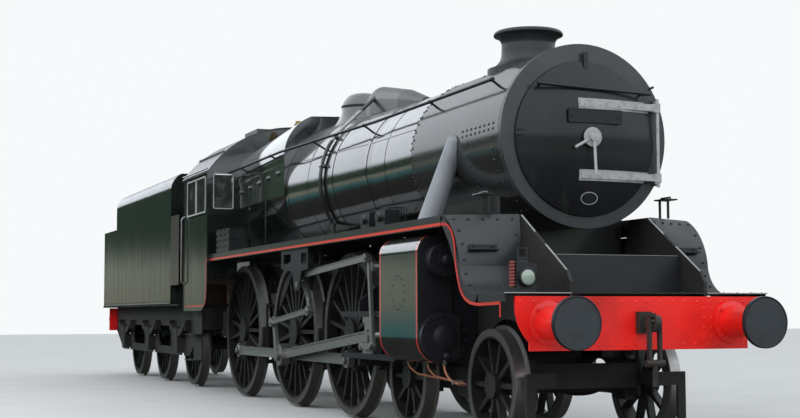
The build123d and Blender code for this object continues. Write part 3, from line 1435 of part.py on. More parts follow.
# Bogie frame: inside plates, the centre block that turns on the frames' pin, springs, axleboxes, guard irons
bogie_plate_y = 500.0
bogie_plate_z = bogie_axle_z + 58.5
bogie_plate_depth = 330.0
bogie_end_reach = 280.0
bogie_block_low_z = bogie_axle_z - 31.5
bogie_block_top_z = bogie_axle_z + 258.5
bogie_block_half_length = 230.0
bogie_box_half_size = 115.0
bogie_spring_z = bogie_axle_z + 118.5
guard_x = bogie_front_x + 592
guard_thickness = 28.0
guard_outer_y = 780.0
guard_inner_y = 700.0
guard_top_z = bogie_axle_z + 118.5
with BuildPart() as bogie_frame:
    with BuildSketch(Plane.XZ.offset(bogie_plate_y)):
        with Locations((bogie_pivot_x, bogie_plate_z)):
            Rectangle(bogie_wheelbase + 2 * bogie_end_reach, bogie_plate_depth)
        with Locations((bogie_pivot_x - 560, bogie_plate_z + 80), (bogie_pivot_x + 560, bogie_plate_z + 80)):
            Ellipse(150, 70, mode=Mode.SUBTRACT)
    extrude(amount=frame_thickness)
    for axle_x in (bogie_front_x, bogie_rear_x):
        slab(
            (axle_x - bogie_box_half_size, axle_x + bogie_box_half_size), (-570, -470),
            (bogie_axle_z - 150, bogie_axle_z + 150),
        )
    with BuildSketch(Plane.XZ.offset(bogie_plate_y + frame_thickness)):
        with BuildLine():
            spring_line = Line((bogie_front_x, bogie_spring_z), (bogie_rear_x, bogie_spring_z))
            ThreePointArc(spring_line @ 0, (bogie_pivot_x, bogie_spring_z - 290), spring_line @ 1)
        make_face()
    extrude(amount=36)
    slab(
        (bogie_front_x + bogie_end_reach - 20, guard_x + guard_thickness),
        (-bogie_plate_y - frame_thickness, -bogie_plate_y), (bogie_axle_z, guard_top_z),
    )
    slab((guard_x, guard_x + guard_thickness), (-guard_outer_y, -bogie_plate_y), (bogie_axle_z, guard_top_z))
    slab((guard_x, guard_x + guard_thickness), (-guard_outer_y, -guard_inner_y), (rail_z + 80, bogie_axle_z))
    mirror(about=Plane.XZ)
    slab(
        (bogie_pivot_x - bogie_block_half_length, bogie_pivot_x + bogie_block_half_length),
        (-bogie_plate_y, bogie_plate_y), (bogie_block_low_z, bogie_block_top_z),
    )
    for end_x in (bogie_front_x + 255, bogie_rear_x - 255):
        slab(
            (end_x - 20, end_x + 20), (-bogie_plate_y, bogie_plate_y),
            (bogie_block_low_z, bogie_block_low_z + 220),
        )
    for axle_x in (bogie_front_x, bogie_rear_x):
        cross_bar(axle_x, bogie_axle_z, (-700, 700), carrying_axle_radius + running_gap, Mode.SUBTRACT)
    bar(
        (bogie_pivot_x, 0, bogie_stretcher_low_z - 180), (bogie_pivot_x, 0, bogie_stretcher_low_z + 100),
        bogie_pin_radius + running_gap, Mode.SUBTRACT,
    )
finish(bogie_frame.part, "bogie_frame")

# Cab: front sheet round the firebox, side sheets with two-pane windows, arched roof, floor and seat boxes
roof_rise = cab_apex_z - cab_eave_z
roof_radius = (cab_half_width**2 + roof_rise**2) / (2 * roof_rise)
roof_centre_z = cab_apex_z - roof_radius
roof_thickness = 12.0
roof_inner_radius = roof_radius - roof_thickness
roof_overhang = 12.0
cab_side_y = cab_half_width - cab_sheet
wheel_cover_z = plate_z - 95
wheel_cover_thickness = 20.0


def roof_height(y, radius):
    """Give the height of an arc about the roof's centre at a distance from the middle."""
    return roof_centre_z + (radius**2 - y**2) ** 0.5


cab_side_top_z = roof_height(cab_half_width, roof_inner_radius)
with BuildPart() as cab_front:
    with BuildSketch(Plane.YZ.offset(cab_front_x - cab_sheet)):
        with BuildLine():
            eave_z = roof_height(cab_side_y, roof_inner_radius)
            Polyline(
                (-cab_side_y, eave_z), (-cab_side_y, cab_floor_z), (cab_side_y, cab_floor_z),
                (cab_side_y, eave_z),
            )
            ThreePointArc((cab_side_y, eave_z), (0, roof_height(0, roof_inner_radius)), (-cab_side_y, eave_z))
        make_face()
        with Locations((-1060, boiler_z + 202), (1060, boiler_z + 202)):
            RectangleRounded(270, 490, 30, mode=Mode.SUBTRACT)
    extrude(amount=cab_sheet)
    add(firebox.part, mode=Mode.SUBTRACT)
    for side in (-1, 1):
        slab(
            (cab_front_x - 50, cab_front_x + 50), (side * frame_outer_y, side * 850),
            (cab_floor_z - 50, wheel_cover_z), Mode.SUBTRACT,
        )
finish(cab_front.part, "cab_front")

side_curve_top_z = plate_z - 380
side_curve_reach = 400.0
window_z = boiler_z + 157
with BuildPart() as cab_sides:
    with BuildSketch(Plane.XZ.offset(cab_side_y)):
        with BuildLine():
            Polyline(
                (cab_front_x - side_curve_reach, cab_bottom_z),
                (cab_rear_x, cab_bottom_z),
                (cab_rear_x, cab_side_top_z),
                (cab_front_x, cab_side_top_z),
                (cab_front_x, side_curve_top_z),
            )
            ThreePointArc(
                (cab_front_x, side_curve_top_z), (cab_front_x - 92, side_curve_top_z - 298),
                (cab_front_x - side_curve_reach, cab_bottom_z),
            )
        make_face()
        with Locations((cab_front_x - 395, window_z), (cab_front_x - 935, window_z)):
            RectangleRounded(500, 590, 40, mode=Mode.SUBTRACT)
    extrude(amount=cab_sheet)
    mirror(about=Plane.XZ)
finish(cab_sides.part, "cab_sides")

eave_y = cab_half_width + roof_overhang
ventilator_length = 700.0
ventilator_width = 900.0
rain_strip_y = 1050.0
with BuildPart() as cab_roof:
    with BuildSketch(Plane.YZ.offset(cab_rear_x - 90)):
        with BuildLine():
            outer_arc = ThreePointArc(
                (eave_y, roof_height(eave_y, roof_radius)), (0, cab_apex_z),
                (-eave_y, roof_height(eave_y, roof_radius)),
            )
            inner_arc = ThreePointArc(
                (eave_y, roof_height(eave_y, roof_inner_radius)), (0, cab_apex_z - roof_thickness),
                (-eave_y, roof_height(eave_y, roof_inner_radius)),
            )
            Line(outer_arc @ 0, inner_arc @ 0)
            Line(outer_arc @ 1, inner_arc @ 1)
        make_face()
    extrude(amount=cab_length + 150)
    slab(
        (
            (cab_front_x + cab_rear_x - ventilator_length) / 2,
            (cab_front_x + cab_rear_x + ventilator_length) / 2,
        ),
        (-ventilator_width / 2, ventilator_width / 2), (cab_apex_z - 60, cab_apex_z + 15),
    )
    for side in (-1, 1):
        strip_z = roof_height(rain_strip_y, roof_radius)
        slab(
            (cab_rear_x - 60, cab_front_x + 30), (side * rain_strip_y, side * (rain_strip_y + 12)),
            (strip_z - 20, strip_z + 22),
        )
    bar(
        (cab_rear_x - 200, 0, roof_centre_z), (cab_front_x + 200, 0, roof_centre_z), roof_inner_radius,
        Mode.SUBTRACT,
    )
finish(cab_roof.part, "cab_roof")

floor_front_x = trail_x - driver_diameter / 2 - 50
floor_thickness = 40.0
riser_thickness = 12.0
cover_inner_y = frame_outer_y + 0.9
with BuildPart() as cab_floor:
    slab((floor_front_x, cab_rear_x), (-cab_side_y, cab_side_y), (cab_floor_z - floor_thickness, cab_floor_z))
    slab((firebox_rear_x, floor_front_x), (-600, 600), (cab_floor_z - floor_thickness, cab_floor_z))
    slab(
        (floor_front_x - 60, cab_rear_x + 20), (-frame_inner_y, frame_inner_y),
        (drag_top_z, cab_floor_z - floor_thickness),
    )
    slab(
        (cab_front_x - cab_sheet, floor_front_x - riser_thickness), (-cab_side_y, -cover_inner_y),
        (wheel_cover_z, wheel_cover_z + wheel_cover_thickness),
    )
    slab(
        (floor_front_x, floor_front_x - riser_thickness), (-cab_side_y, -cover_inner_y),
        (cab_floor_z, wheel_cover_z + wheel_cover_thickness),
    )
    mirror(about=Plane.XZ)
finish(cab_floor.part, "cab_floor")

# Cab steps: a hanging plate with two treads on each side
step_front_x = cab_rear_x + 560
step_rear_x = cab_rear_x + 40
step_plate_y = 1135.0
step_plate_thickness = 15.0
tread_reach = 155.0
step_low_z = rail_z + 430.0
step_rise = 380.0
with BuildPart() as cab_steps:
    slab(
        (step_rear_x, step_front_x), (-step_plate_y - step_plate_thickness, -step_plate_y),
        (step_low_z, cab_floor_z - floor_thickness),
    )
    for n in range(2):
        tread_z = step_low_z + 20 + n * step_rise
        slab(
            (step_rear_x, step_front_x), (-step_plate_y - tread_reach, -step_plate_y),
            (tread_z, tread_z + 14),
        )
    slab(
        (step_rear_x + 210, step_rear_x + 270), (-step_plate_y, -frame_inner_y),
        (drag_top_z + 60, drag_top_z + 120),
    )
    mirror(about=Plane.XZ)
finish(cab_steps.part, "cab_steps")

# Tender frames: outside plates with openings between the axles, joined by cross members and the drawbar
tender_frame_front_x = tender_body_front_x - 60
tender_frame_top_z = tender_floor_z - 20
tender_frame_low_z = tender_axle_z - 167.5
tender_gap_z = tender_axle_z + 132.5
tender_horn_depth = 420.0
wheel_box_half_length = 330.0
wheel_box_inner_y = wheel_back_y - 15
wheel_box_outer_y = wheel_back_y + tyre_width + 20
wheel_box_top_z = tender_floor_z + 80
tender_middles = [(ahead + behind) / 2 for ahead, behind in zip(tender_axle_xs, tender_axle_xs[1:])]
# Cross members: x, low z
cross_member_table = [
    (tender_frame_front_x - 20, tender_axle_z + 252.5),
    (tender_middles[0], tender_axle_z + 352.5),
    (tender_middles[1], tender_axle_z + 352.5),
    (rear_beam_x + 400, tender_axle_z + 252.5),
]
with BuildPart() as tender_frame:
    with BuildSketch(Plane.XZ.offset(tender_frame_y)):
        with BuildLine():
            Polyline(
                (tender_frame_front_x, tender_axle_z + 52.5),
                (tender_frame_front_x, tender_frame_top_z),
                (rear_beam_x + beam_thickness, tender_frame_top_z),
                (rear_beam_x + beam_thickness, tender_axle_z + 172.5),
                (tender_axle_xs[2] - 600, tender_frame_low_z),
                (tender_axle_xs[0] + 500, tender_frame_low_z),
                close=True,
            )
        make_face()
        for gap_x in tender_middles:
            with Locations((gap_x, tender_gap_z)):
                SlotOverall(tender_spacing - 800, 340, mode=Mode.SUBTRACT)
        for axle_x in tender_axle_xs:
            with Locations((axle_x, tender_axle_z - 27.5)):
                Rectangle(2 * horn_half_width, tender_horn_depth, mode=Mode.SUBTRACT)
    extrude(amount=frame_thickness)
    mirror(about=Plane.XZ)
    for x, low in cross_member_table:
        slab((x - 20, x + 20), (-tender_frame_y, tender_frame_y), (low, tender_frame_top_z))
    slab(
        (rear_beam_x + beam_thickness, tender_frame_front_x),
        (10 - tender_half_width, tender_half_width - 10),
        (tender_frame_top_z, tender_floor_z),
    )
    slab((tender_frame_front_x - 20, drawbar_pin_x), (-65, 65), (drawbar_z - 30, drawbar_z + 30))
    bar((drawbar_pin_x, 0, drawbar_z - 30), (drawbar_pin_x, 0, drawbar_z + 30), 95)
    bar(
        (drawbar_pin_x, 0, drawbar_z - 80), (drawbar_pin_x, 0, drawbar_z + 80),
        drawbar_pin_radius + running_gap,
        Mode.SUBTRACT,
    )
    for axle_x in tender_axle_xs:
        for side in (-1, 1):
            slab(
                (axle_x - wheel_box_half_length, axle_x + wheel_box_half_length),
                (side * wheel_box_inner_y, side * wheel_box_outer_y),
                (tender_frame_top_z - 50, tender_floor_z),
                Mode.SUBTRACT,
            )
finish(tender_frame.part, "tender_frame")

# Tender axleboxes with their leaf springs above, outside the frames
tender_spring_z = tender_axle_z + 170
tender_spring_half_span = 560.0
with BuildPart() as tender_springs:
    for axle_x in tender_axle_xs:
        slab(
            (axle_x - horn_half_width + running_gap, axle_x + horn_half_width - running_gap),
            (-tender_journal_y - 45, 30 - tender_frame_y), (tender_axle_z - 130, tender_axle_z + 130),
        )
        cross_bar(
            axle_x, tender_axle_z, (-tender_journal_y - 5, 0), carrying_axle_radius + running_gap,
            Mode.SUBTRACT,
        )
        with BuildSketch(Plane.XZ.offset(tender_frame_y + frame_thickness + 12)):
            with BuildLine():
                front_tip_x = axle_x + tender_spring_half_span
                rear_tip_x = axle_x - tender_spring_half_span
                top_leaf = ThreePointArc(
                    (rear_tip_x, tender_spring_z + 190), (axle_x, tender_spring_z + 80),
                    (front_tip_x, tender_spring_z + 190),
                )
                low_leaf = ThreePointArc(
                    (rear_tip_x, tender_spring_z + 160), (axle_x, tender_spring_z - 40),
                    (front_tip_x, tender_spring_z + 160),
                )
                Line(top_leaf @ 0, low_leaf @ 0)
                Line(top_leaf @ 1, low_leaf @ 1)
            make_face()
        extrude(amount=90)
        slab(
            (axle_x - 60, axle_x + 60), (-tender_journal_y - 40, -tender_frame_y - 40),
            (tender_spring_z - 60, tender_spring_z + 120),
        )
        for way in (-1, 1):
            slab(
                (axle_x + way * 540, axle_x + way * 580),
                (-tender_journal_y - 20, -tender_frame_y - frame_thickness),
                (tender_spring_z + 60, tender_spring_z + 230),
            )
    mirror(about=Plane.XZ)
finish(tender_springs.part, "tender_springs")

# Tender tank with its curved-in high sides, a lower rear top and the sloping coal space
tank_high_rear_x = tender_axle_xs[2] + 170
coal_rear_x = tank_high_rear_x + 350
coal_floor_z = cab_floor_z
coal_half_width = 1060.0
coal_wall = 60.0
with BuildPart() as tender_tank:
    with BuildSketch(Plane.YZ.offset(tank_rear_x)):
        with BuildLine():
            Polyline(
                (0, tender_floor_z), (tender_half_width, tender_floor_z),
                (tender_half_width, tender_side_z),
            )
            ThreePointArc(
                (tender_half_width, tender_side_z), (tender_half_width - 40, tender_side_z + 180),
                (tender_half_width - 170, tender_top_z),
            )
            Line((tender_half_width - 170, tender_top_z), (0, tender_top_z))
            mirror(about=Plane.YZ)
        make_face()
    extrude(amount=tender_tank_front_x - tank_rear_x)
    slab(
        (tank_rear_x, tank_high_rear_x), (-tender_half_width, tender_half_width),
        (tender_low_z, tender_top_z),
        Mode.SUBTRACT,
    )
    with BuildSketch(Plane.XZ.offset(-coal_half_width)):
        with BuildLine():
            Polyline(
                (tender_tank_front_x - coal_wall, coal_floor_z),
                (tender_tank_front_x - coal_wall, tender_top_z),
                (coal_rear_x, tender_top_z),
                (coal_rear_x, tender_low_z + 100),
                (tender_tank_front_x - 1500, coal_floor_z),
                close=True,
            )
        make_face()
    extrude(amount=2 * coal_half_width, mode=Mode.SUBTRACT)
    slab(
        (tender_tank_front_x - coal_wall - 10, tender_tank_front_x), (-300, 300),
        (coal_floor_z, coal_floor_z + 860),
        Mode.SUBTRACT,
    )
    for axle_x in tender_axle_xs:
        for side in (-1, 1):
            slab(
                (axle_x - wheel_box_half_length, axle_x + wheel_box_half_length),
                (side * wheel_box_inner_y, side * wheel_box_outer_y), (tender_floor_z, wheel_box_top_z),
                Mode.SUBTRACT,
            )
finish(tender_tank.part, "tender_tank")

# Tender footplate ahead of the tank, with its low side sheets, hand pillars, hand brake and water column
pillar_x = tender_body_front_x - 40
column_x = tender_tank_front_x + 130
with BuildPart() as tender_front:
    slab(
        (tender_tank_front_x, tender_body_front_x), (-tender_half_width, tender_half_width),
        (cab_floor_z - floor_thickness, cab_floor_z),
    )
    slab(
        (tender_tank_front_x, tender_frame_front_x), (-900, 900),
        (tender_floor_z, cab_floor_z - floor_thickness),
    )
    slab(
        (tender_tank_front_x, tender_body_front_x), (-tender_half_width, cab_sheet - tender_half_width),
        (cab_floor_z, cab_floor_z + 1060),
    )
    bar(
        (pillar_x, -tender_half_width + 60, cab_floor_z),
        (pillar_x, -tender_half_width + 60, cab_floor_z + 900), 15,
    )
    bar((column_x, -720, cab_floor_z), (column_x, -720, cab_floor_z + 850), 32)
    cross_bar(column_x, cab_floor_z + 835, (-860, -580), 14)
    mirror(about=Plane.XZ)
finish(tender_front.part, "tender_front")

# Water filler on the low rear top of the tank; its lid turns on a hinge
filler_x = tank_rear_x + 520
filler_radius = 235.0
filler_height = 120.0
filler_wall = 12.0
lid_low_z = tender_low_z + filler_height + 2
lid_hinge_x = filler_x - filler_radius - 50
lid_hinge_z = tender_low_z + 135
lid_pin_radius = 8.0
with BuildPart() as tender_filler:
    bar((filler_x, 0, tender_low_z), (filler_x, 0, tender_low_z + filler_height), filler_radius)
    bar(
        (filler_x, 0, tender_low_z + 10), (filler_x, 0, tender_low_z + filler_height),
        filler_radius - filler_wall,
        Mode.SUBTRACT,
    )
    for y in (-90, 90):
        slab((lid_hinge_x - 20, lid_hinge_x + 30), (y - 12, y + 12), (tender_low_z, lid_hinge_z + 15))
        slab((lid_hinge_x + 20, lid_hinge_x + 55), (y - 12, y + 12), (tender_low_z, tender_low_z + 100))
    cross_bar(lid_hinge_x, lid_hinge_z, (-100, 100), lid_pin_radius)
finish(tender_filler.part, "tender_filler")
with BuildPart() as filler_lid:
    bar((filler_x, 0, lid_low_z), (filler_x, 0, lid_low_z + 12), filler_radius + 12)
    slab((lid_hinge_x + 5, filler_x), (-40, 40), (lid_low_z + 6, lid_low_z + 22))
    cross_bar(lid_hinge_x, lid_hinge_z, (-60, 60), 20)
    cross_bar(lid_hinge_x, lid_hinge_z, (-70, 70), lid_pin_radius + running_gap, Mode.SUBTRACT)
finish(filler_lid.part, "filler_lid")
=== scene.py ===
"""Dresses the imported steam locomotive: finishes for its solids, and the small fittings that they leave out.

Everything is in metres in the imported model's frame: X forwards, Y to the engine's left, Z up from the floor
that the wheel flanges stand on. Pieces of the right side are often built on the left and mirrored.
"""

import logging
import math
from dataclasses import dataclass, field, replace
from enum import Enum
from typing import Callable, Iterable, Sequence

import bpy
import numpy as np
from mathutils import Matrix, Vector
from mathutils.bvhtree import BVHTree


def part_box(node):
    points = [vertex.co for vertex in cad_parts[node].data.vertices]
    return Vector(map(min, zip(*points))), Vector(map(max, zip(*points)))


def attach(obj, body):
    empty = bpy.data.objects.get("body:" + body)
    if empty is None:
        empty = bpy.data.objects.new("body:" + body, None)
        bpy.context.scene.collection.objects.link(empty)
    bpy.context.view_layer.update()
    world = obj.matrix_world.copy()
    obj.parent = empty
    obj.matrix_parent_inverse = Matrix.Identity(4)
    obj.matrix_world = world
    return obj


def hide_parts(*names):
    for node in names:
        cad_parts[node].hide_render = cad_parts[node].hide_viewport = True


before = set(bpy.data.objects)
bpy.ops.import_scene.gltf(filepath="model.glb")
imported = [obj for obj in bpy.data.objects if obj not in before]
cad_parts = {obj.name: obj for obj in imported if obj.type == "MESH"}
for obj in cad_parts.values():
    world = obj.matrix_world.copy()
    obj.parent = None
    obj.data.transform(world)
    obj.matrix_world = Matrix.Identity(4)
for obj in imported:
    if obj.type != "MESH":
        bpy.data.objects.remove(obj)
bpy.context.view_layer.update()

LOG = logging.getLogger("locomotive")
Array = np.ndarray
Socket = bpy.types.NodeSocket
Pair = tuple[float, float]
Triple = tuple[float, float, float]

X, Y, Z = (1, 0, 0), (0, 1, 0), (0, 0, 1)
BACK = (-1, 0, 0)
FORWARD = (Y, Z, X)
REARWARD = ((0, -1, 0), Z, BACK)
WIDE = 99.0
TURN = 2 * math.pi


class Body(str, Enum):
    """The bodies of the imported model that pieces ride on."""

    ENGINE = "engine"
    DOOR = "door"
    TENDER = "tender"
    ROD_RIGHT = "coupling_right"
    ROD_LEFT = "coupling_left"


@dataclass(frozen=True)
class Datum:
    """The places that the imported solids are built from, in metres; crank angles in degrees."""

    boiler_axis: float = 2.7466
    smokebox_radius: float = 0.815
    barrel_radius: float = 0.8
    barrel_growth: float = 0.105
    taper_front: float = 4.95
    taper_length: float = 2.86
    plate: float = 2.0286
    platform: float = 1.3306
    bogie_axles: Pair = (8.02, 6.039)
    coupled_axles: Triple = (4.312, 2.178, -0.26)
    tender_axles: Triple = (-3.328, -5.614, -7.9)
    bogie_wheel: Pair = (0.5301, 0.5015)
    coupled_wheel: Pair = (0.9431, 0.9145)
    tender_wheel: Pair = (0.6761, 0.6475)
    throw: float = 0.3556
    right_crank: float = -52.0
    left_crank: float = 38.0

    def crank_pin(self, axle: float, angle: float) -> Pair:
        """Give the x and z of a crank pin for its axle's x and its crank angle in degrees."""
        turn = math.radians(angle)
        return axle + self.throw * math.cos(turn), self.coupled_wheel[0] + self.throw * math.sin(turn)


D = Datum()


# Shader maths


def operator(operation: str, swapped: bool = False) -> Callable[["Value", "Value | float"], "Value"]:
    """Give the method for an operator: a Math node on two terms, swapped for a number on the left."""

    def apply(this: "Value", other: "Value | float") -> "Value":
        """Add the node."""
        return this.math(operation, *((other, this) if swapped else (this, other)))

    return apply


class Value:
    """A number that varies over a surface. Python's operators on it add Math nodes."""

    def __init__(self, graph: "Nodes", socket: Socket) -> None:
        """Wrap a socket of a graph."""
        self.graph = graph
        self.socket = socket

    def math(self, operation: str, *terms: "Value | float") -> "Value":
        """Add one Math node on some terms."""
        node = self.graph.node("ShaderNodeMath", {"operation": operation}, dict(enumerate(terms)))
        return Value(self.graph, node.outputs[0])

    __add__ = __radd__ = operator("ADD")
    __mul__ = __rmul__ = operator("MULTIPLY")
    __sub__, __rsub__ = operator("SUBTRACT"), operator("SUBTRACT", swapped=True)
    __pow__ = operator("POWER")
    __gt__, __lt__ = operator("GREATER_THAN"), operator("LESS_THAN")
    most, least = operator("MAXIMUM"), operator("MINIMUM")

    def __abs__(self) -> "Value":
        """Give the size without the sign."""
        return self.math("ABSOLUTE", self)

    def repeat(self, period: float) -> "Value":
        """Give the distance from the middle of the nearest period, for patterns that come again and again."""
        return abs(self.math("FLOORED_MODULO", self, period) - period / 2)

    def smooth(self, low: float, high: float) -> "Value":
        """Rise smoothly from 0 at low to 1 at high."""
        inputs = {"Value": self, "From Min": low, "From Max": high}
        node = self.graph.node("ShaderNodeMapRange", {"interpolation_type": "SMOOTHSTEP"}, inputs)
        return Value(self.graph, node.outputs[0])

    def within(self, low: float, high: float) -> "Value":
        """Give 1 between two limits."""
        return (self > low) * (self < high)


def paint(colour: Sequence[float] | Socket) -> Sequence[float] | Socket:
    """Give a colour its fourth number where it is written as three."""
    return colour if isinstance(colour, Socket) or len(colour) == 4 else (*colour, 1.0)


def shade(colour: Triple, share: float) -> Triple:
    """Give a colour darkened to a share of itself."""
    return tuple(share * c for c in colour)


class Nodes:
    """A node tree of a material or of the world."""

    def __init__(self, tree: bpy.types.NodeTree) -> None:
        """Empty the tree."""
        self.tree = tree
        tree.nodes.clear()

    def node(self, kind: str, settings: dict | None = None, inputs: dict | None = None) -> bpy.types.Node:
        """Add a node.

        Args:
            kind: the node's type.
            settings: its properties.
            inputs: a value or a link for each of its sockets, by name, number or identifier.

        Returns:
            The new node.
        """
        node = self.tree.nodes.new(kind)
        for key, value in (settings or {}).items():
            setattr(node, key, value)
        for key, value in (inputs or {}).items():
            named = (s for s in node.inputs if key in (s.identifier, s.name))
            socket = node.inputs[key] if isinstance(key, int) else next(named)
            value = value.socket if isinstance(value, Value) else value
            if isinstance(value, Socket):
                self.tree.links.new(value, socket)
            else:
                socket.default_value = value
        return node

    def mix(self, factor: Value, first: Sequence[float] | Socket, second: Sequence[float] | Socket) -> Socket:
        """Blend two colours by a factor."""
        inputs = {"Factor_Float": factor, "A_Color": paint(first), "B_Color": paint(second)}
        node = self.node("ShaderNodeMix", {"data_type": "RGBA", "clamp_factor": True}, inputs)
        return next(s for s in node.outputs if s.identifier == "Result_Color")


class Graph(Nodes):
    """The nodes of one material, with the piece's own coordinates at hand."""

    def __init__(self, name: str) -> None:
        """Start an empty material."""
        self.material = bpy.data.materials.new(name)
        self.material.use_nodes = True
        super().__init__(self.material.node_tree)
        self.place = self.node("ShaderNodeTexCoord").outputs["Object"]
        self.x, self.y, self.z = self.split(self.place)
        self.up = self.split(self.node("ShaderNodeNewGeometry").outputs["Normal"])[2]

    def split(self, vector: Socket) -> list[Value]:
        """Give a vector's three numbers."""
        return [Value(self, s) for s in self.node("ShaderNodeSeparateXYZ", inputs={0: vector}).outputs]

    def noise(self, scale: float, detail: float = 3.0, stretch: Triple = (1.0, 1.0, 1.0),
              rough: float = 0.55) -> Value:
        """Give soft noise about 0.5, its grain scale per metre and stretched along each axis."""
        grown = self.node("ShaderNodeMapping", inputs={"Vector": self.place, "Scale": stretch}).outputs[0]
        inputs = {"Vector": grown, "Scale": scale, "Detail": detail, "Roughness": rough}
        return Value(self, self.node("ShaderNodeTexNoise", inputs=inputs).outputs[0])

    def bump(
        self, height: Value, distance: float, strength: float = 1.0, before: Socket | None = None
    ) -> Socket:
        """Give normals bent by a height that is counted in distance, in metres."""
        inputs = {"Height": height, "Distance": distance, "Strength": strength}
        if before is not None:
            inputs["Normal"] = before
        return self.node("ShaderNodeBump", inputs=inputs).outputs[0]

    def surface(self, **sockets: object) -> bpy.types.Material:
        """Finish the material with one Principled shader.

        Args:
            sockets: its socket values or links, with underscores in the names for spaces.

        Returns:
            The material.
        """
        inputs = {key.replace("_", " "): value for key, value in sockets.items()}
        shader = self.node("ShaderNodeBsdfPrincipled", inputs=inputs)
        self.node("ShaderNodeOutputMaterial", inputs={0: shader.outputs[0]})
        return self.material


# Finishes


@dataclass(frozen=True)
class Stripe:
    """A painted patch: everything inside a box, in the frame's metres."""

    low: Triple
    high: Triple

    def mask(self, graph: Graph) -> Value:
        """Give 1 inside the box, leaving out the axes along which it is endless."""
        found = None
        for axis, low, high in zip((graph.x, graph.y, graph.z), self.low, self.high):
            if low > -WIDE or high < WIDE:
                inside = axis.within(low, high)
                found = inside if found is None else found * inside
        return found

    def both(self) -> tuple["Stripe", "Stripe"]:
        """Give the patch and its mirror image on the other side."""
        (x0, y0, z0), (x1, y1, z1) = self.low, self.high
        return self, Stripe((x0, -y1, z0), (x1, -y0, z1))


@dataclass(frozen=True)
class Finish:
    """A surface treatment. Each kind of finish dresses a graph in its own way."""

    name: str
    slot: str = "frame_black"

    def dress(self, graph: Graph) -> bpy.types.Material:
        """Build the material's nodes."""
        raise NotImplementedError

    @property
    def material(self) -> bpy.types.Material:
        """Give the finish's material, built once."""
        return bpy.data.materials.get(self.name) or self.dress(Graph(self.name))


class Scale(float, Enum):
    """How many grains of each pattern in the paint go to a metre."""

    CLOUD = 1.7
    FINE = 16.0
    STREAK = 7.0
    RUST = 11.0
    GRAIN = 48.0
    WAVE = 1.9
    RIPPLE = 5.0


RUST_COLOUR = (0.11, 0.045, 0.02)
COAT_IOR = 1.9


@dataclass(frozen=True)
class Enamel(Finish):
    """Paint on sheet metal, from deep gloss to a satin heat-resisting coat, with dust, streaks and ripple."""

    colour: Triple = (0.012, 0.013, 0.014)
    roughness: float = 0.2
    coat: float = 1.0
    dust: float = 0.25
    dust_colour: Triple = (0.16, 0.15, 0.13)
    streaks: float = 0.2
    ripple: float = 0.0
    ripple_stretch: Triple = (1.0, 1.0, 1.35)
    ior: float = 1.5
    sheen: float = 0.07
    grain: float = 0.0
    rust: float = 0.0
    stripes: tuple[Stripe, ...] = ()
    stripe_colour: Triple = (0.62, 0.035, 0.02)
    pale: tuple[Stripe, ...] = ()
    pale_colour: Triple = (0.42, 0.43, 0.43)

    def dress(self, graph: Graph) -> bpy.types.Material:
        """Lay down the paint, its stripes, then dust on upward faces, rain streaks, fine grain and ripple."""
        cloud = graph.noise(Scale.CLOUD, 5.0)
        fine = graph.noise(Scale.FINE)
        tall = graph.noise(Scale.STREAK, 4.0, (1.0, 1.0, 0.09))
        base = graph.mix(cloud.smooth(0.3, 0.75), self.colour, shade(self.colour, 0.55))
        for stripe in self.pale:
            wear_and_highlight = graph.mix(fine.smooth(0.4, 0.8), self.pale_colour, shade(self.pale_colour, 0.62))
            base = graph.mix(stripe.mask(graph), base, wear_and_highlight)
        for stripe in self.stripes:
            base = graph.mix(stripe.mask(graph), base, self.stripe_colour)
        settled = graph.up.smooth(0.15, 0.95) * (0.35 + cloud) * fine.smooth(0.2, 0.8) * self.dust
        run = tall.smooth(0.56, 0.78) * (0.4 + 0.6 * fine) * self.streaks
        base = graph.mix(settled.least(0.85), base, self.dust_colour)
        base = graph.mix(run.least(0.7), base, shade(self.dust_colour, 0.75))
        if self.rust:
            spots = graph.noise(Scale.RUST, 8.0, rough=0.7).smooth(0.62, 0.74) * self.rust
            base = graph.mix(spots, base, RUST_COLOUR)
        level = graph.up.smooth(0.45, 0.97)
        rough = self.roughness + 0.12 * fine.smooth(0.35, 0.9) + 0.5 * settled + 0.3 * run + 0.3 * level
        bent = graph.bump(graph.noise(Scale.GRAIN, 2.0) * (0.008 + 0.16 * self.grain), 0.002, 0.6)
        if self.ripple:
            wave, small = (
                graph.noise(scale, 1.0, self.ripple_stretch) for scale in (Scale.WAVE, Scale.RIPPLE)
            )
            bent = graph.bump(wave + 0.25 * small, self.ripple, 1.0, bent)
        return graph.surface(
            Base_Color=base, Roughness=rough.least(0.95), Normal=bent, IOR=self.ior,
            Coat_IOR=COAT_IOR, Coat_Roughness=self.sheen,
            Coat_Weight=(1.0 - 0.62 * level) * (1.0 - settled.least(0.8)) * self.coat,
        )


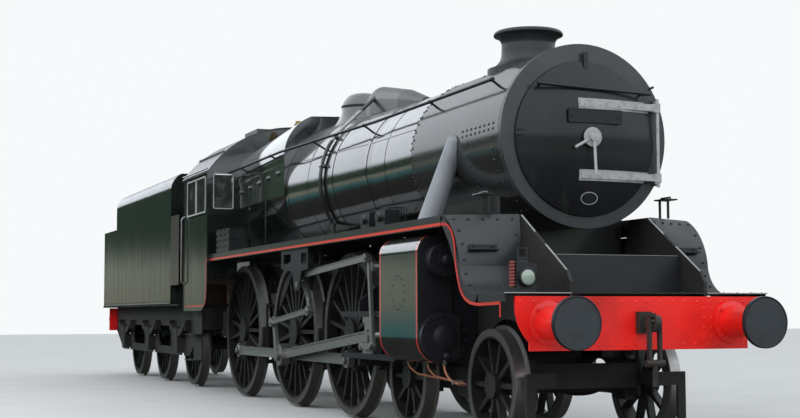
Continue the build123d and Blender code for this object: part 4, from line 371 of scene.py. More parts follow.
@dataclass(frozen=True)
class Wheelwork(Finish):
    """Black wheel paint with a bright worn tyre, about one axle's (x, z)."""

    axle: Pair = (0.0, 0.0)
    tread: float = 0.9
    tyre: float = 0.07
    tread_faces: Pair = (0.7115, 0.8195)
    colour: Triple = (0.009, 0.0092, 0.0094)

    def dress(self, graph: Graph) -> bpy.types.Material:
        """Shade by the distance from the axle: a bright tread, a dull tyre side, oily paint on the spokes."""
        dx, dz = graph.x - self.axle[0], graph.z - self.axle[1]
        radius = (dx * dx + dz * dz) ** 0.5
        fine = graph.noise(42.0, 5.0)
        cloud = graph.noise(4.0, 4.0)
        grease = graph.noise(9.0, 6.0, rough=0.7).smooth(0.48, 0.72)
        rim = self.tread - self.tyre
        side = radius.smooth(rim - 0.004, rim + 0.004)
        wear_and_highlight = radius.smooth(self.tread - 0.016, self.tread - 0.010) * abs(graph.y).within(*self.tread_faces)
        base = graph.mix(cloud.smooth(0.35, 0.7), self.colour, (0.02, 0.0195, 0.018))
        base = graph.mix(grease * 0.5, base, (0.03, 0.024, 0.018))
        base = graph.mix(side * (0.3 + 0.5 * fine), base, (0.13, 0.127, 0.12))
        base = graph.mix(wear_and_highlight, base, (0.55, 0.54, 0.52))
        rough = 0.36 + 0.3 * fine - 0.18 * grease
        return graph.surface(
            Base_Color=base, Roughness=rough.least(0.9), Metallic=wear_and_highlight.most(side * 0.35),
            Normal=graph.bump(fine + 0.5 * cloud, 0.0016, 0.5), IOR=1.4,
        )


@dataclass(frozen=True)
class Steel(Finish):
    """Machined or forged steel with oil, brushed marks along one axis and patches of grime."""

    colour: Triple = (0.34, 0.34, 0.33)
    grime: Triple = (0.05, 0.042, 0.034)
    dirt: float = 0.45
    roughness: float = 0.28
    stretch: Triple = (1.0, 1.0, 1.0)
    metallic: float = 0.9

    def dress(self, graph: Graph) -> bpy.types.Material:
        """Brush fine lines along the stretched axis, and lay patchy oil and grime over them."""
        lines = graph.noise(160.0, 3.0, self.stretch)
        patch = graph.noise(6.0, 6.0, rough=0.65)
        fine = graph.noise(60.0, 4.0)
        dirt = (patch.smooth(0.42, 0.68) * (0.45 + 0.55 * fine) * (self.dirt * 2.0)).least(0.95)
        tone = graph.mix(lines.smooth(0.3, 0.7), shade(self.colour, 0.82), self.colour)
        rough = self.roughness + 0.16 * lines + 0.34 * dirt
        return graph.surface(
            Base_Color=graph.mix(dirt, tone, self.grime), Roughness=rough.least(0.95),
            Metallic=self.metallic * (1.0 - 0.6 * dirt), Coat_Weight=0.12,
            Normal=graph.bump(lines * 0.4 + fine * 0.6, 0.0009, 0.5),
        )


@dataclass(frozen=True)
class Glass(Finish):
    """Thin window glass with a faint dusty film."""

    slot: str = "pale_steel"
    colour: Triple = (0.12, 0.13, 0.12)
    cover: float = 0.1

    def dress(self, graph: Graph) -> bpy.types.Material:
        """Mix dusty patches over a clear pane."""
        film = graph.noise(5.0, 5.0).smooth(0.45, 0.8)
        return graph.surface(
            Base_Color=graph.mix(film, self.colour, (0.2, 0.21, 0.19)), Roughness=0.03 + 0.25 * film,
            Alpha=(self.cover + 0.3 * film).least(1.0), IOR=1.5, Specular_IOR_Level=0.8,
        )


@dataclass(frozen=True)
class Planks(Finish):
    """Worn boards laid across the engine, their grain along Y."""

    colour: Triple = (0.16, 0.10, 0.055)
    width: float = 0.15

    def dress(self, graph: Graph) -> bpy.types.Material:
        """Stretch grain along the boards, and darken the gaps and scattered patches with coal dust."""
        grain = graph.noise(24.0, 6.0, (1.0, 0.07, 1.0))
        gap = graph.x.repeat(self.width) > self.width / 2 - 0.004
        dust = graph.noise(3.0, 6.0).smooth(0.4, 0.75)
        base = graph.mix(grain.smooth(0.3, 0.75), self.colour, shade(self.colour, 0.5))
        base = graph.mix((dust * 0.7).most(gap), base, (0.018, 0.017, 0.016))
        normal = graph.bump(grain - 2.0 * gap, 0.002, 0.6)
        return graph.surface(Base_Color=base, Roughness=0.68 + 0.25 * grain, Normal=normal)


PALE_PAINT = (0.36, 0.37, 0.37)
PALE_DUST = (0.16, 0.16, 0.155)
BRUSHED = (0.12, 1.0, 1.0)


class Coat(Enum):
    """The finishes that pieces share, each with the name of a record's slot."""

    BOILER = Enamel("boiler_black_gloss", "gloss_black", (0.0085, 0.0098, 0.0098), roughness=0.13, dust=0.1,
                    streaks=0.05, ripple=0.006)
    # Partly painted reflection: the sheets are black, and the green tint in this colour stands for green
    # surroundings seen in their gloss.
    SIDE = Enamel(
        "side_sheet_gloss", "gloss_black", (0.0105, 0.0145, 0.013), roughness=0.07, coat=0.0, ior=1.95,
        dust=0.12, streaks=0.1, ripple=0.011, ripple_stretch=(1.6, 1.6, 0.22),
    )
    # Painted reflection: the brown mixed into this black stands for brown surroundings reflected in the
    # tender's front sheets.
    REFLECTED_BROWN = Enamel("front_sheet_painted_brown_reflection", "gloss_black", (0.03, 0.014, 0.013), roughness=0.3, coat=0.3,
                   dust=0.12, streaks=0.06, ripple=0.003)
    SMOKEBOX = Enamel(
        "smokebox_heat_black", "smokebox_black", (0.011, 0.0112, 0.0112), roughness=0.6, coat=0.85,
        sheen=0.15, ior=1.3, dust=0.16, dust_colour=PALE_DUST, streaks=0.12, grain=0.3, ripple=0.004,
    )
    CHIMNEY = Enamel(
        "chimney_black", "smokebox_black", (0.018, 0.02, 0.024), roughness=0.5, coat=0.2, sheen=0.2,
        ior=1.35, dust=0.1, streaks=0.15, grain=0.3,
    )
    RING = Enamel("smokebox_ring_black", "smokebox_black", (0.027, 0.029, 0.032), roughness=0.42, coat=0.25,
                  sheen=0.15, dust=0.2, dust_colour=PALE_DUST, streaks=0.12, grain=0.3,
                  pale=(Stripe((8.3, 0.66, 2.27), (WIDE, WIDE, 3.14)),), pale_colour=PALE_PAINT)
    DOOR = Enamel(
        "smokebox_door_black", "smokebox_black", (0.0095, 0.0105, 0.0125), roughness=0.42, coat=0.16,
        ior=1.35, dust=0.15, streaks=0.1, grain=0.2, pale_colour=PALE_PAINT,
        pale=(
            Stripe((8.287, -0.112, 2.975), (WIDE, WIDE, 3.073)),
            Stripe((8.287, -0.112, 2.335), (WIDE, WIDE, 2.433)),
            Stripe((8.32, 0.69, 2.28), (WIDE, WIDE, 3.13)), Stripe((8.43, -0.25, 2.3), (WIDE, 0.1, 2.81)),
        ),
    )
    FRAME = Enamel("frame_black", "frame_black", (0.011, 0.012, 0.013), roughness=0.38, coat=0.2, dust=0.2,
                   streaks=0.15, grain=0.2, rust=0.2)
    UNDER = Enamel(
        "underframe_grime", "frame_black", (0.018, 0.017, 0.016), roughness=0.6, coat=0.0, dust=0.35,
        dust_colour=(0.085, 0.07, 0.055), streaks=0.3, grain=0.5, rust=0.5,
    )
    RED = Enamel("beam_red", "signal_red", (0.88, 0.010, 0.005), roughness=0.36, coat=0.15, dust=0.06,
                 streaks=0.08, dust_colour=(0.16, 0.02, 0.015), ripple=0.001)
    LINING = Enamel("lining_red", "signal_red", (0.62, 0.02, 0.012), roughness=0.3, coat=0.4, dust=0.05,
                    streaks=0.05)
    DULL_RED = Enamel("lamp_dull_red", "signal_red", (0.30, 0.045, 0.035), roughness=0.5, coat=0.1, dust=0.2)
    PIPE_GREY = Enamel(
        "steam_pipe_grey", "pale_steel", (0.25, 0.265, 0.29), roughness=0.42, coat=0.1, dust=0.15,
        dust_colour=(0.09, 0.085, 0.08), streaks=0.35, grain=0.3,
    )
    PALE = Enamel("pale_grey_fitting", "pale_steel", (0.40, 0.41, 0.41), roughness=0.4, coat=0.1, dust=0.1,
                  dust_colour=(0.12, 0.11, 0.1), streaks=0.25)
    PLATFORM = Enamel(
        "platform_black", "gloss_black", (0.013, 0.0145, 0.018), roughness=0.45, coat=0.16, sheen=0.2,
        dust=0.2, dust_colour=(0.2, 0.19, 0.17), streaks=0.12, ripple=0.003,
    )
    CREAM = Enamel(
        "cab_cream", "pale_steel", (0.52, 0.46, 0.32), roughness=0.45, coat=0.1, dust=0.3, streaks=0.3,
        dust_colour=(0.12, 0.1, 0.07),
    )
    MOTION = Steel("motion_steel", "motion_steel", (0.16, 0.157, 0.145), (0.028, 0.025, 0.021), dirt=0.5,
                   roughness=0.4, stretch=BRUSHED, metallic=0.5)
    BRIGHT = Steel(
        "bright_steel", "motion_steel", (0.38, 0.38, 0.37), dirt=0.2, roughness=0.3, stretch=BRUSHED
    )
    BUFFER = Steel("buffer_slate", "buffer_steel", (0.05, 0.058, 0.066), (0.022, 0.022, 0.022), dirt=0.3,
                   roughness=0.45, metallic=0.4)
    HOOK = Steel(
        "forged_hook", "frame_black", (0.06, 0.057, 0.054), (0.035, 0.022, 0.016), dirt=0.6, roughness=0.5,
        metallic=0.6,
    )
    COPPER = Steel(
        "copper_pipe", "pale_steel", (0.50, 0.21, 0.12), (0.10, 0.05, 0.03), dirt=0.35, roughness=0.36,
        metallic=0.8,
    )
    BRASS = Steel(
        "brass_fitting", "pale_steel", (0.42, 0.28, 0.10), (0.12, 0.07, 0.02), dirt=0.25, roughness=0.26,
        metallic=1.0,
    )
    GLASS = Glass("window_glass")
    PLANKS = Planks("floor_boards")

    @property
    def material(self) -> bpy.types.Material:
        """Give the finish's material."""
        return self.value.material

    @property
    def slot(self) -> str:
        """Give the name of its slot."""
        return self.value.slot


# Shapes


@dataclass
class Shape:
    """Vertices and faces of closed forms; faces of one length share an array."""

    points: Array
    faces: list[Array] = field(default_factory=list)

    @staticmethod
    def join(shapes: Iterable["Shape"]) -> "Shape":
        """Put several shapes in one, moving each one's face numbers past the points before it."""
        shapes = list(shapes)
        starts = np.cumsum([0] + [len(s.points) for s in shapes])
        faces = [block + start for s, start in zip(shapes, starts) for block in s.faces]
        return Shape(np.concatenate([s.points for s in shapes]), faces)

    def placed(self, origin: Sequence[float], u: Sequence[float] = X, v: Sequence[float] = Y,
               w: Sequence[float] = Z) -> "Shape":
        """Carry the points onto an origin and three axes: origin + x u + y v + z w."""
        basis = np.array([u, v, w], float)
        return Shape(self.points @ basis + np.array(origin, float), self.faces)

    def both(self) -> "Shape":
        """Give the shape and its mirror image: y turned over, and each face's order turned with it."""
        return Shape.join([self, Shape(self.points * (1, -1, 1), [block[:, ::-1] for block in self.faces])])

    def spread(self, origins: Array, normals: Array, up: Sequence[float] = Z) -> "Shape":
        """Repeat the shape at many places.

        Args:
            origins: (n, 3) places.
            normals: the directions that the shape's z turns to, one for all places or one each.
            up: a direction that settles its turn about the normal.

        Returns:
            One shape with n copies: place + x a + y b + z n, where b = n cross up and a = b cross n, all of
            length one.
        """
        normals = unit(np.broadcast_to(np.array(normals, float), np.shape(origins)))
        hint = np.broadcast_to(np.array(up, float), normals.shape)
        hint = np.where(np.abs((hint * normals).sum(-1, keepdims=True)) > 0.98, np.roll(hint, 1, -1), hint)
        b = unit(np.cross(normals, hint))
        a = np.cross(b, normals)
        p = self.points[None]
        points = (
            np.array(origins, float)[:, None] + p[..., :1] * a[:, None] + p[..., 1:2] * b[:, None]
            + p[..., 2:] * normals[:, None]
        )
        starts = np.arange(len(points))[:, None, None] * len(self.points)
        faces = [(block[None] + starts).reshape(-1, block.shape[1]) for block in self.faces]
        return Shape(points.reshape(-1, 3), faces)


def unit(vectors: Array) -> Array:
    """Give vectors of length one."""
    return vectors / np.maximum(np.linalg.norm(vectors, axis=-1, keepdims=True), 1e-12)


def grid_faces(rows: int, columns: int) -> Array:
    """Give the quads between rings of points, row by row; each ring's last point meets its first."""
    r, c = np.meshgrid(np.arange(rows - 1) * columns, np.arange(columns), indexing="ij")
    after = (c + 1) % columns
    return np.stack([r + c, r + after, r + columns + after, r + columns + c], -1).reshape(-1, 4)


def skin(rings: Array) -> Shape:
    """Close a tube through rings of points.

    Args:
        rings: (rows, columns, 3) points, each ring turning left about the way the rows go.

    Returns:
        The tube's quads, with a flat many-sided face over its first and last ring.
    """
    rows, columns = rings.shape[:2]
    ends = np.arange(columns)
    return Shape(
        rings.reshape(-1, 3),
        [grid_faces(rows, columns), ends[None, ::-1], ends[None] + (rows - 1) * columns],
    )


def looped(rings: Array) -> Shape:
    """Close rings of points, (rows, columns, 3), into a rim whose last ring meets its first."""
    rows, columns = rings.shape[:2]
    return Shape(rings.reshape(-1, 3), [grid_faces(rows + 1, columns) % (rows * columns)])


def turned(profile: Sequence[Pair], sides: int = 24, close: Callable[[Array], Shape] = skin) -> Shape:
    """Turn a profile about Z.

    Args:
        profile: (height, radius) pairs; each ring is radius (cos a, sin a) at its height.
        sides: points in a ring.
        close: skin for a solid going up, or looped where the last pair meets the first, as in a tyre.

    Returns:
        A closed form. A small radius at an end closes a solid in a point-like disc.
    """
    height, radius = np.array(profile, float).T[..., None]
    angle = np.linspace(0, TURN, sides, endpoint=False)
    return close(np.stack([radius * np.cos(angle), radius * np.sin(angle), height + 0 * angle], -1))


def softened(points: Array, bend: float, steps: int = 6) -> Array:
    """Round each inner corner with a quadratic curve: (1-t)^2 before + 2t(1-t) corner + t^2 after."""
    t = np.linspace(0, 1, steps)[:, None]
    parts = [points[:1]]
    for before, corner, after in zip(points, points[1:], points[2:]):
        near, far = (corner + unit(end - corner) * min(bend, np.linalg.norm(end - corner) * 0.49)
                     for end in (before, after))
        parts.append((1 - t) ** 2 * near + 2 * t * (1 - t) * corner + t**2 * far)
    return np.concatenate([*parts, points[-1:]])


def piped(path: Sequence[Sequence[float]], radius: float, sides: int = 8, bend: float = 0.0) -> Shape:
    """Carry a circle along a path.

    Args:
        path: its points.
        radius: the pipe's radius.
        sides: points in a ring.
        bend: where given, how far from each corner a curve that rounds it starts, in metres.

    Returns:
        A closed pipe: each ring is point + radius (cos a across + sin a above), where across is carried along
        the path with the least twist and above = way cross across.
    """
    points = np.array(path, float)
    points = softened(points, bend) if bend else points
    ways = unit(np.gradient(points, axis=0))
    side = unit(np.cross(Z if abs(ways[0, 2]) < 0.9 else X, ways[0]))
    across = np.empty_like(ways)
    for n, way in enumerate(ways):
        across[n] = side = unit(side - way * (side @ way))
    above = np.cross(ways, across)
    angle = np.linspace(0, TURN, sides, endpoint=False)[None, :, None]
    return skin(points[:, None] + radius * (np.cos(angle) * across[:, None] + np.sin(angle) * above[:, None]))


def block(low: Sequence[float], high: Sequence[float], edge: float = 0.004) -> Shape:
    """Give a box with a small chamfer along its edges.

    Its rings are the box's outline drawn in by the edge at both ends, and the full outline between them.
    """
    low, high = np.minimum(low, high).astype(float), np.maximum(low, high).astype(float)
    edge = min(edge, float((high - low).min()) * 0.3)

    def ring(z: float, inset: float) -> list[Triple]:
        """Give eight points round the box at a height, its corners cut by the edge."""
        x0, y0, x1, y1 = low[0] + inset, low[1] + inset, high[0] - inset, high[1] - inset
        return [
            (x0 + edge, y0, z), (x1 - edge, y0, z), (x1, y0 + edge, z), (x1, y1 - edge, z),
            (x1 - edge, y1, z), (x0 + edge, y1, z), (x0, y1 - edge, z), (x0, y0 + edge, z),
        ]

    levels = ((low[2], edge), (low[2] + edge, 0), (high[2] - edge, 0), (high[2], edge))
    return skin(np.array([ring(z, inset) for z, inset in levels]))


def lifted(flat: Array, origin: Sequence[float], u: Sequence[float], v: Sequence[float]) -> Array:
    """Carry flat points into space: origin + a u + b v."""
    flat = np.array(flat, float)
    return np.array(origin, float) + flat[:, :1] * np.array(u, float) + flat[:, 1:] * np.array(v, float)


def slab(outline: Sequence[Pair], origin: Sequence[float], u: Sequence[float], v: Sequence[float],
         depth: float, edge: float = 0.002) -> Shape:
    """Give a plate from a flat outline.

    Args:
        outline: (a, b) points turning left, at origin + a u + b v.
        origin: the outline's origin.
        u: the direction of a.
        v: the direction of b.
        depth: the plate's thickness along u cross v.
        edge: how far the outer faces are drawn in at their rims.

    Returns:
        A closed plate with a slight chamfer on both rims.
    """
    flat = np.array(outline, float)
    small = flat + unit(flat.mean(0) - flat) * edge
    edge = min(edge, abs(depth) * 0.3)
    rows = [(small, 0.0), (flat, edge), (flat, depth - edge), (small, depth)]
    return skin(np.array([lifted(f, origin + np.cross(u, v) * d, u, v) for f, d in rows]))


def hoop(path: Array, normal: Sequence[float], width: float, depth: float) -> Shape:
    """Lay a closed rim of rectangular section along a flat closed path.

    Args:
        path: (n, 3) points turning left about the normal, the last one next to the first.
        normal: the direction that the rim stands up in.
        width: how far the rim reaches inwards from the path.
        depth: how far it stands up.

    Returns:
        A ring of quads: each section is path, the same moved inwards by width, then both raised by depth.
    """
    path, rise = np.array(path, float), np.array(normal, float) * depth
    inner = path + np.cross(normal, unit(np.roll(path, -1, 0) - np.roll(path, 1, 0))) * width
    return looped(np.stack([path, inner, inner + rise, path + rise], 1))


def ribbon(path: Array, out: Sequence[float] | Array, half_width: float, thickness: float = 0.0015,
           across: Sequence[float] | None = None) -> Shape:
    """Lay a thin strip along a path.

    Args:
        path: (n, 3) points on the surface.
        out: the direction away from the surface, one for all points or one each.
        half_width: half its width.
        thickness: how far it stands proud.
        across: the direction of its width; without it, the path's way cross out.

    Returns:
        A closed strip: each ring is the four corners path ± half_width across, from just under to just over.
    """
    path = np.array(path, float)
    out = np.broadcast_to(np.array(out, float), path.shape)
    side = np.cross(unit(np.gradient(path, axis=0)), out) if across is None else np.array(across, float)
    side = np.broadcast_to(side, path.shape) * half_width
    under, over = path - out * 0.002, path + out * thickness
    rings = np.stack([under - side, under + side, over + side, over - side], 1)
    turns_back = np.cross(rings[0, 1] - rings[0, 0], rings[0, 3] - rings[0, 0]) @ (path[1] - path[0]) < 0
    return skin(rings[:, ::-1] if turns_back else rings)


def row(start: Sequence[float], end: Sequence[float], pitch: float) -> Array:
    """Give points in a row from start to end, about the pitch apart."""
    start, end = np.array(start, float), np.array(end, float)
    count = max(2, int(round(np.linalg.norm(end - start) / pitch)) + 1)
    return start + (end - start) * np.linspace(0, 1, count)[:, None]


def rows(pitch: float, *ends: tuple[Sequence[float], Sequence[float]]) -> Array:
    """Give the points of several rows, each from its start to its end."""
    return np.concatenate([row(start, end, pitch) for start, end in ends])


def circle_row(centre: Sequence[float], radius: float, u: Sequence[float], v: Sequence[float], count: int,
               start: float = 0.0) -> Array:
    """Give points round a circle, the first at an angle in degrees: centre + radius (cos a u + sin a v)."""
    angle = np.radians(start + 360.0 * np.arange(count) / count)
    return lifted(radius * np.stack([np.cos(angle), np.sin(angle)], -1), centre, u, v)


class Rivet(float, Enum):
    """Radii of the round heads of rivets and screws."""

    SHELL = 0.0155
    STRAP = 0.013
    BEAM = 0.0125
    LAP = 0.012
    FRAME = 0.011
    PLATFORM = 0.009
    CLADDING = 0.0085
    PLATE = 0.008
    CLADDING_EDGE = 0.006
    FINE = 0.005


class Bolt(Enum):
    """Radii and heights of the hexagon heads of bolts and nuts."""

    CRANK_PIN = (0.042, 0.026)
    BAND_CLIP = (0.02, 0.03)
    FLANGE = (0.019, 0.016)
    CYLINDER = (0.017, 0.02)
    VALVE = (0.013, 0.016)
    SHEET = (0.0125, 0.01)
    LEDGE = (0.011, 0.009)
    BLANK_PLATE = (0.011, 0.006)


def rivets(radius: Rivet, points: Array, way: Sequence[float] | Array, up: Sequence[float] = Z) -> Shape:
    """Set low round heads on points, facing one way or one way each: two rings and a small cap."""
    profile = [(-0.3 * radius, radius), (0.25 * radius, radius * 0.92), (0.55 * radius, radius * 0.45)]
    return turned(profile, 8).spread(points, way, up)


def bolts(size: Bolt, points: Sequence[Sequence[float]], way: Sequence[float] | Array) -> Shape:
    """Set hexagon heads with a chamfered top on points, facing one way or one way each."""
    radius, height = size.value
    head = turned([(-0.2 * height, radius), (0.8 * height, radius), (height, radius * 0.82)], 6)
    return head.spread(np.array(points, float), way)


def arc_points(centre: Pair, radius: float, start: float, end: float, count: int) -> Array:
    """Give (n, 2) points of an arc between two angles in degrees."""
    angle = np.radians(np.linspace(start, end, count))
    return np.stack([centre[0] + radius * np.cos(angle), centre[1] + radius * np.sin(angle)], -1)


def arc_through(a: Pair, b: Pair, c: Pair, count: int = 14) -> Array:
    """Give (n, 2) points of the arc from a through b to c, from the circle that meets all three."""
    (ax, ay), (bx, by), (cx, cy) = a, b, c
    d = 2 * (ax * (by - cy) + bx * (cy - ay) + cx * (ay - by))
    ux = ((ax**2 + ay**2) * (by - cy) + (bx**2 + by**2) * (cy - ay) + (cx**2 + cy**2) * (ay - by)) / d
    uy = ((ax**2 + ay**2) * (cx - bx) + (bx**2 + by**2) * (ax - cx) + (cx**2 + cy**2) * (bx - ax)) / d
    first, middle, last = (math.atan2(y - uy, x - ux) for x, y in (a, b, c))
    turn = (last - first) % TURN
    if (middle - first) % TURN > turn:
        turn -= TURN
    return arc_points((ux, uy), math.hypot(ax - ux, ay - uy), *np.degrees((first, first + turn)), count)


def rounded(half_u: float, half_v: float, radius: float, steps: int = 5) -> Array:
    """Give (n, 2) points of a rounded rectangle about the origin, turning left."""
    u, v = half_u - radius, half_v - radius
    corners = ((u, v, 0), (-u, v, 90), (-u, -v, 180), (u, -v, 270))
    return np.concatenate([arc_points((a, b), radius, start, start + 90, steps) for a, b, start in corners])


def about_axis(x: float | Array, angle: float | Array, radius: float | Array) -> tuple[Array, Array]:
    """Give points round the boiler's axis, and the way out at each.

    Args:
        x: one place along the engine for all points or one each.
        angle: the same for the angle above the horizontal, in degrees.
        radius: the same for the distance from the axis.

    Returns:
        The points (x, 0, axis) + radius out, and out = (0, cos a, sin a).
    """
    x, angle = np.broadcast_arrays(np.array(x, float), np.radians(np.array(angle, float)))
    out = np.stack([0 * angle, np.cos(angle), np.sin(angle)], -1)
    axis = np.stack([x, 0 * x, D.boiler_axis + 0 * x], -1)
    return axis + out * np.broadcast_to(radius, x.shape)[..., None], out


def build(name: str, shapes: Shape | Iterable[Shape], coat: Coat | Finish, body: Body = Body.ENGINE,
          slot: str | None = None, pair: bool = False, smooth: float = 35.0) -> bpy.types.Object:
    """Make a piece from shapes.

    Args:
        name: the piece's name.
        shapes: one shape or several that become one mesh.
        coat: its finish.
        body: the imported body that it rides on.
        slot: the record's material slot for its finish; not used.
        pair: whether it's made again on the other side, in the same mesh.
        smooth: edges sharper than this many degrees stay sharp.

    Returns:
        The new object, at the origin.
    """
    shape = shapes if isinstance(shapes, Shape) else Shape.join(shapes)
    shape = shape.both() if pair else shape
    mesh = bpy.data.meshes.new(name)
    loops = np.concatenate([f.ravel() for f in shape.faces])
    sizes = np.concatenate([np.full(len(f), f.shape[1]) for f in shape.faces])
    mesh.vertices.add(len(shape.points))
    mesh.vertices.foreach_set("co", shape.points.ravel())
    mesh.loops.add(len(loops))
    mesh.loops.foreach_set("vertex_index", loops.astype(np.int32))
    mesh.polygons.add(len(sizes))
    mesh.polygons.foreach_set("loop_start", np.concatenate([[0], np.cumsum(sizes)[:-1]]).astype(np.int32))
    mesh.update(calc_edges=True)
    mesh.polygons.foreach_set("use_smooth", np.ones(len(sizes), bool))
    mesh.set_sharp_from_angle(angle=math.radians(smooth))
    mesh.validate()
    mesh.materials.append(coat.material)
    piece = bpy.data.objects.new(name, mesh)
    bpy.context.scene.collection.objects.link(piece)
    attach(piece, body.value)
    slot or coat.slot
    LOG.info("%s: %d faces on %s", name, len(sizes), body.value)
    return piece


def struck(node: str, starts: Array, way: Sequence[float]) -> tuple[Array, Array]:
    """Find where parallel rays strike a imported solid.

    Args:
        node: the solid's name.
        starts: (n, 3) points that the rays leave from.
        way: their common direction.

    Returns:
        The points struck and the outward directions there, for the rays that strike.
    """
    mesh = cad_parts[node].data
    corners = [tuple(vertex.co) for vertex in mesh.vertices]
    tree = BVHTree.FromPolygons(corners, [tuple(p.vertices) for p in mesh.polygons])
    hits = [tree.ray_cast(Vector(start), Vector(way)) for start in np.array(starts, float)]
    found = [(place, out) for place, out, _, _ in hits if place is not None]
    return np.array([place for place, _ in found]), np.array([out for _, out in found])


def dress(coat: Coat | Finish, *nodes: str) -> None:
    """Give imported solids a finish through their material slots."""
    for name in nodes:
        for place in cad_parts[name].material_slots:
            place.material = coat.material


# Setting: floor, lights, camera


@dataclass
class Studio:
    """The pale floor, the soft lights and the camera at the photo's angle."""

    eye: Triple = (19.317, -6.138, 1.154)
    forward: Triple = (-0.92747, 0.36632, 0.07491)
    right: Triple = (0.36714, 0.93016, -0.00306)
    up: Triple = (0.07080, -0.02466, 0.99719)
    lens: float = 63.28
    sensor: float = 36.0
    far: float = 300.0
    floor_size: float = 140.0
    floor_colour: Triple = (0.62, 0.62, 0.61)
    backdrop: Triple = (0.93, 0.95, 0.96)
    low_light: Triple = (0.62, 0.65, 0.67)
    high_light: Triple = (0.88, 0.93, 0.98)
    shine: tuple[tuple[float, Triple], ...] = (
        (-0.5, (0.012, 0.012, 0.011)), (-0.07, (0.018, 0.018, 0.016)), (-0.02, (0.03, 0.10, 0.10)),
        (-0.004, (0.04, 0.11, 0.11)), (0.004, (0.15, 0.15, 0.11)), (0.032, (0.16, 0.175, 0.145)),
        (0.05, (0.02, 0.034, 0.023)), (0.115, (0.02, 0.034, 0.023)), (0.15, (0.68, 0.725, 0.77)),
    )
    shine_strength: float = 2.0
    lamps: tuple[tuple[str, Triple, Triple, Pair, float, Triple], ...] = (
        ("key_over_right", (9.0, -14.0, 12.0), (3.0, 0.0, 1.5), (20.0, 10.0), 1500.0, (0.97, 0.98, 1.0)),
        ("fill_ahead", (22.0, -4.0, 7.0), (8.0, 0.0, 2.0), (12.0, 8.0), 350.0, (1.0, 1.0, 1.0)),
    )

    def world(self) -> None:
        """Light from a pale sky over a dim low band, with plain near-white behind the object.

        Rays off glossy paint see a sharper sky, a ramp on (height + 1) / 2: dark ground, a paler band at the
        horizon, dark trees and then pale cloud, so that black enamel is black on its sides and shines above.
        """
        world = bpy.data.worlds.new("pale_sky")
        bpy.context.scene.world = world
        world.use_nodes = True
        nodes = Nodes(world.node_tree)
        way = nodes.node("ShaderNodeTexCoord").outputs["Generated"]
        height = Value(nodes, nodes.node("ShaderNodeSeparateXYZ", inputs={0: way}).outputs[2])
        rays = nodes.node("ShaderNodeLightPath").outputs
        ramp = nodes.node("ShaderNodeValToRGB", inputs={0: (height + 1.0) * 0.5})
        stops = ramp.color_ramp.elements
        for number, (place, colour) in enumerate(self.shine):
            stop = stops[number] if number < 2 else stops.new(0.999)
            stop.position = (place + 1) / 2
            stop.color = paint(colour)

        def lit(colour: Sequence[float] | Socket, strength: float = 1.0) -> Socket:
            """Give a background of one colour or of a link's colours."""
            return nodes.node("ShaderNodeBackground", inputs={0: paint(colour), 1: strength}).outputs[0]

        found = lit(nodes.mix(height.smooth(-0.1, 0.45), self.low_light, self.high_light))
        shine, seen = lit(ramp.outputs[0], self.shine_strength), lit(self.backdrop)
        for ray, wanted in (("Is Glossy Ray", shine), ("Is Transmission Ray", seen), ("Is Camera Ray", seen)):
            found = nodes.node("ShaderNodeMixShader", inputs={0: rays[ray], 1: found, 2: wanted}).outputs[0]
        nodes.node("ShaderNodeOutputWorld", inputs={0: found})

    def floor(self) -> None:
        """Lay a large pale floor under the wheels."""
        graph = Graph("studio_floor")
        cloud = graph.noise(0.8)
        base = graph.mix(cloud.smooth(0.3, 0.7), self.floor_colour, shade(self.floor_colour, 0.94))
        mesh = bpy.data.meshes.new("studio_floor")
        half = self.floor_size / 2
        mesh.from_pydata(
            [(-half, -half, 0), (half, -half, 0), (half, half, 0), (-half, half, 0)], [], [(0, 1, 2, 3)]
        )
        mesh.materials.append(graph.surface(Base_Color=base, Roughness=0.75 + 0.1 * cloud))
        ground = bpy.data.objects.new("studio_floor", mesh)
        bpy.context.scene.collection.objects.link(ground)
        ground.visible_glossy = False

    def lamp(self, name: str, place: Triple, aim: Triple, size: Pair, watts: float, colour: Triple) -> None:
        """Hang one soft rectangular lamp that faces a point."""
        data = bpy.data.lights.new(name, "AREA")
        data.shape = "RECTANGLE"
        data.size, data.size_y = size
        data.energy = watts
        data.color = colour
        lamp = bpy.data.objects.new(name, data)
        lamp.location = place
        lamp.rotation_euler = (Vector(aim) - Vector(place)).to_track_quat("-Z", "Y").to_euler()
        lamp.visible_glossy = False
        bpy.context.scene.collection.objects.link(lamp)

    def camera(self) -> None:
        """Stand the camera where the photo was taken from."""
        data = bpy.data.cameras.new("photo_camera")
        data.lens, data.sensor_width, data.clip_end = self.lens, self.sensor, self.far
        camera = bpy.data.objects.new("photo_camera", data)
        turn = Matrix((self.right, self.up, shade(self.forward, -1.0))).transposed()
        camera.matrix_world = Matrix.Translation(self.eye) @ turn.to_4x4()
        bpy.context.scene.collection.objects.link(camera)
        bpy.context.scene.camera = camera

    def make(self) -> None:
        """Set the view transform and put everything in place."""
        bpy.context.scene.view_settings.view_transform = "Standard"
        self.world()
        self.floor()
        for lamp in self.lamps:
            self.lamp(*lamp)
        self.camera()


# Sub-assemblies


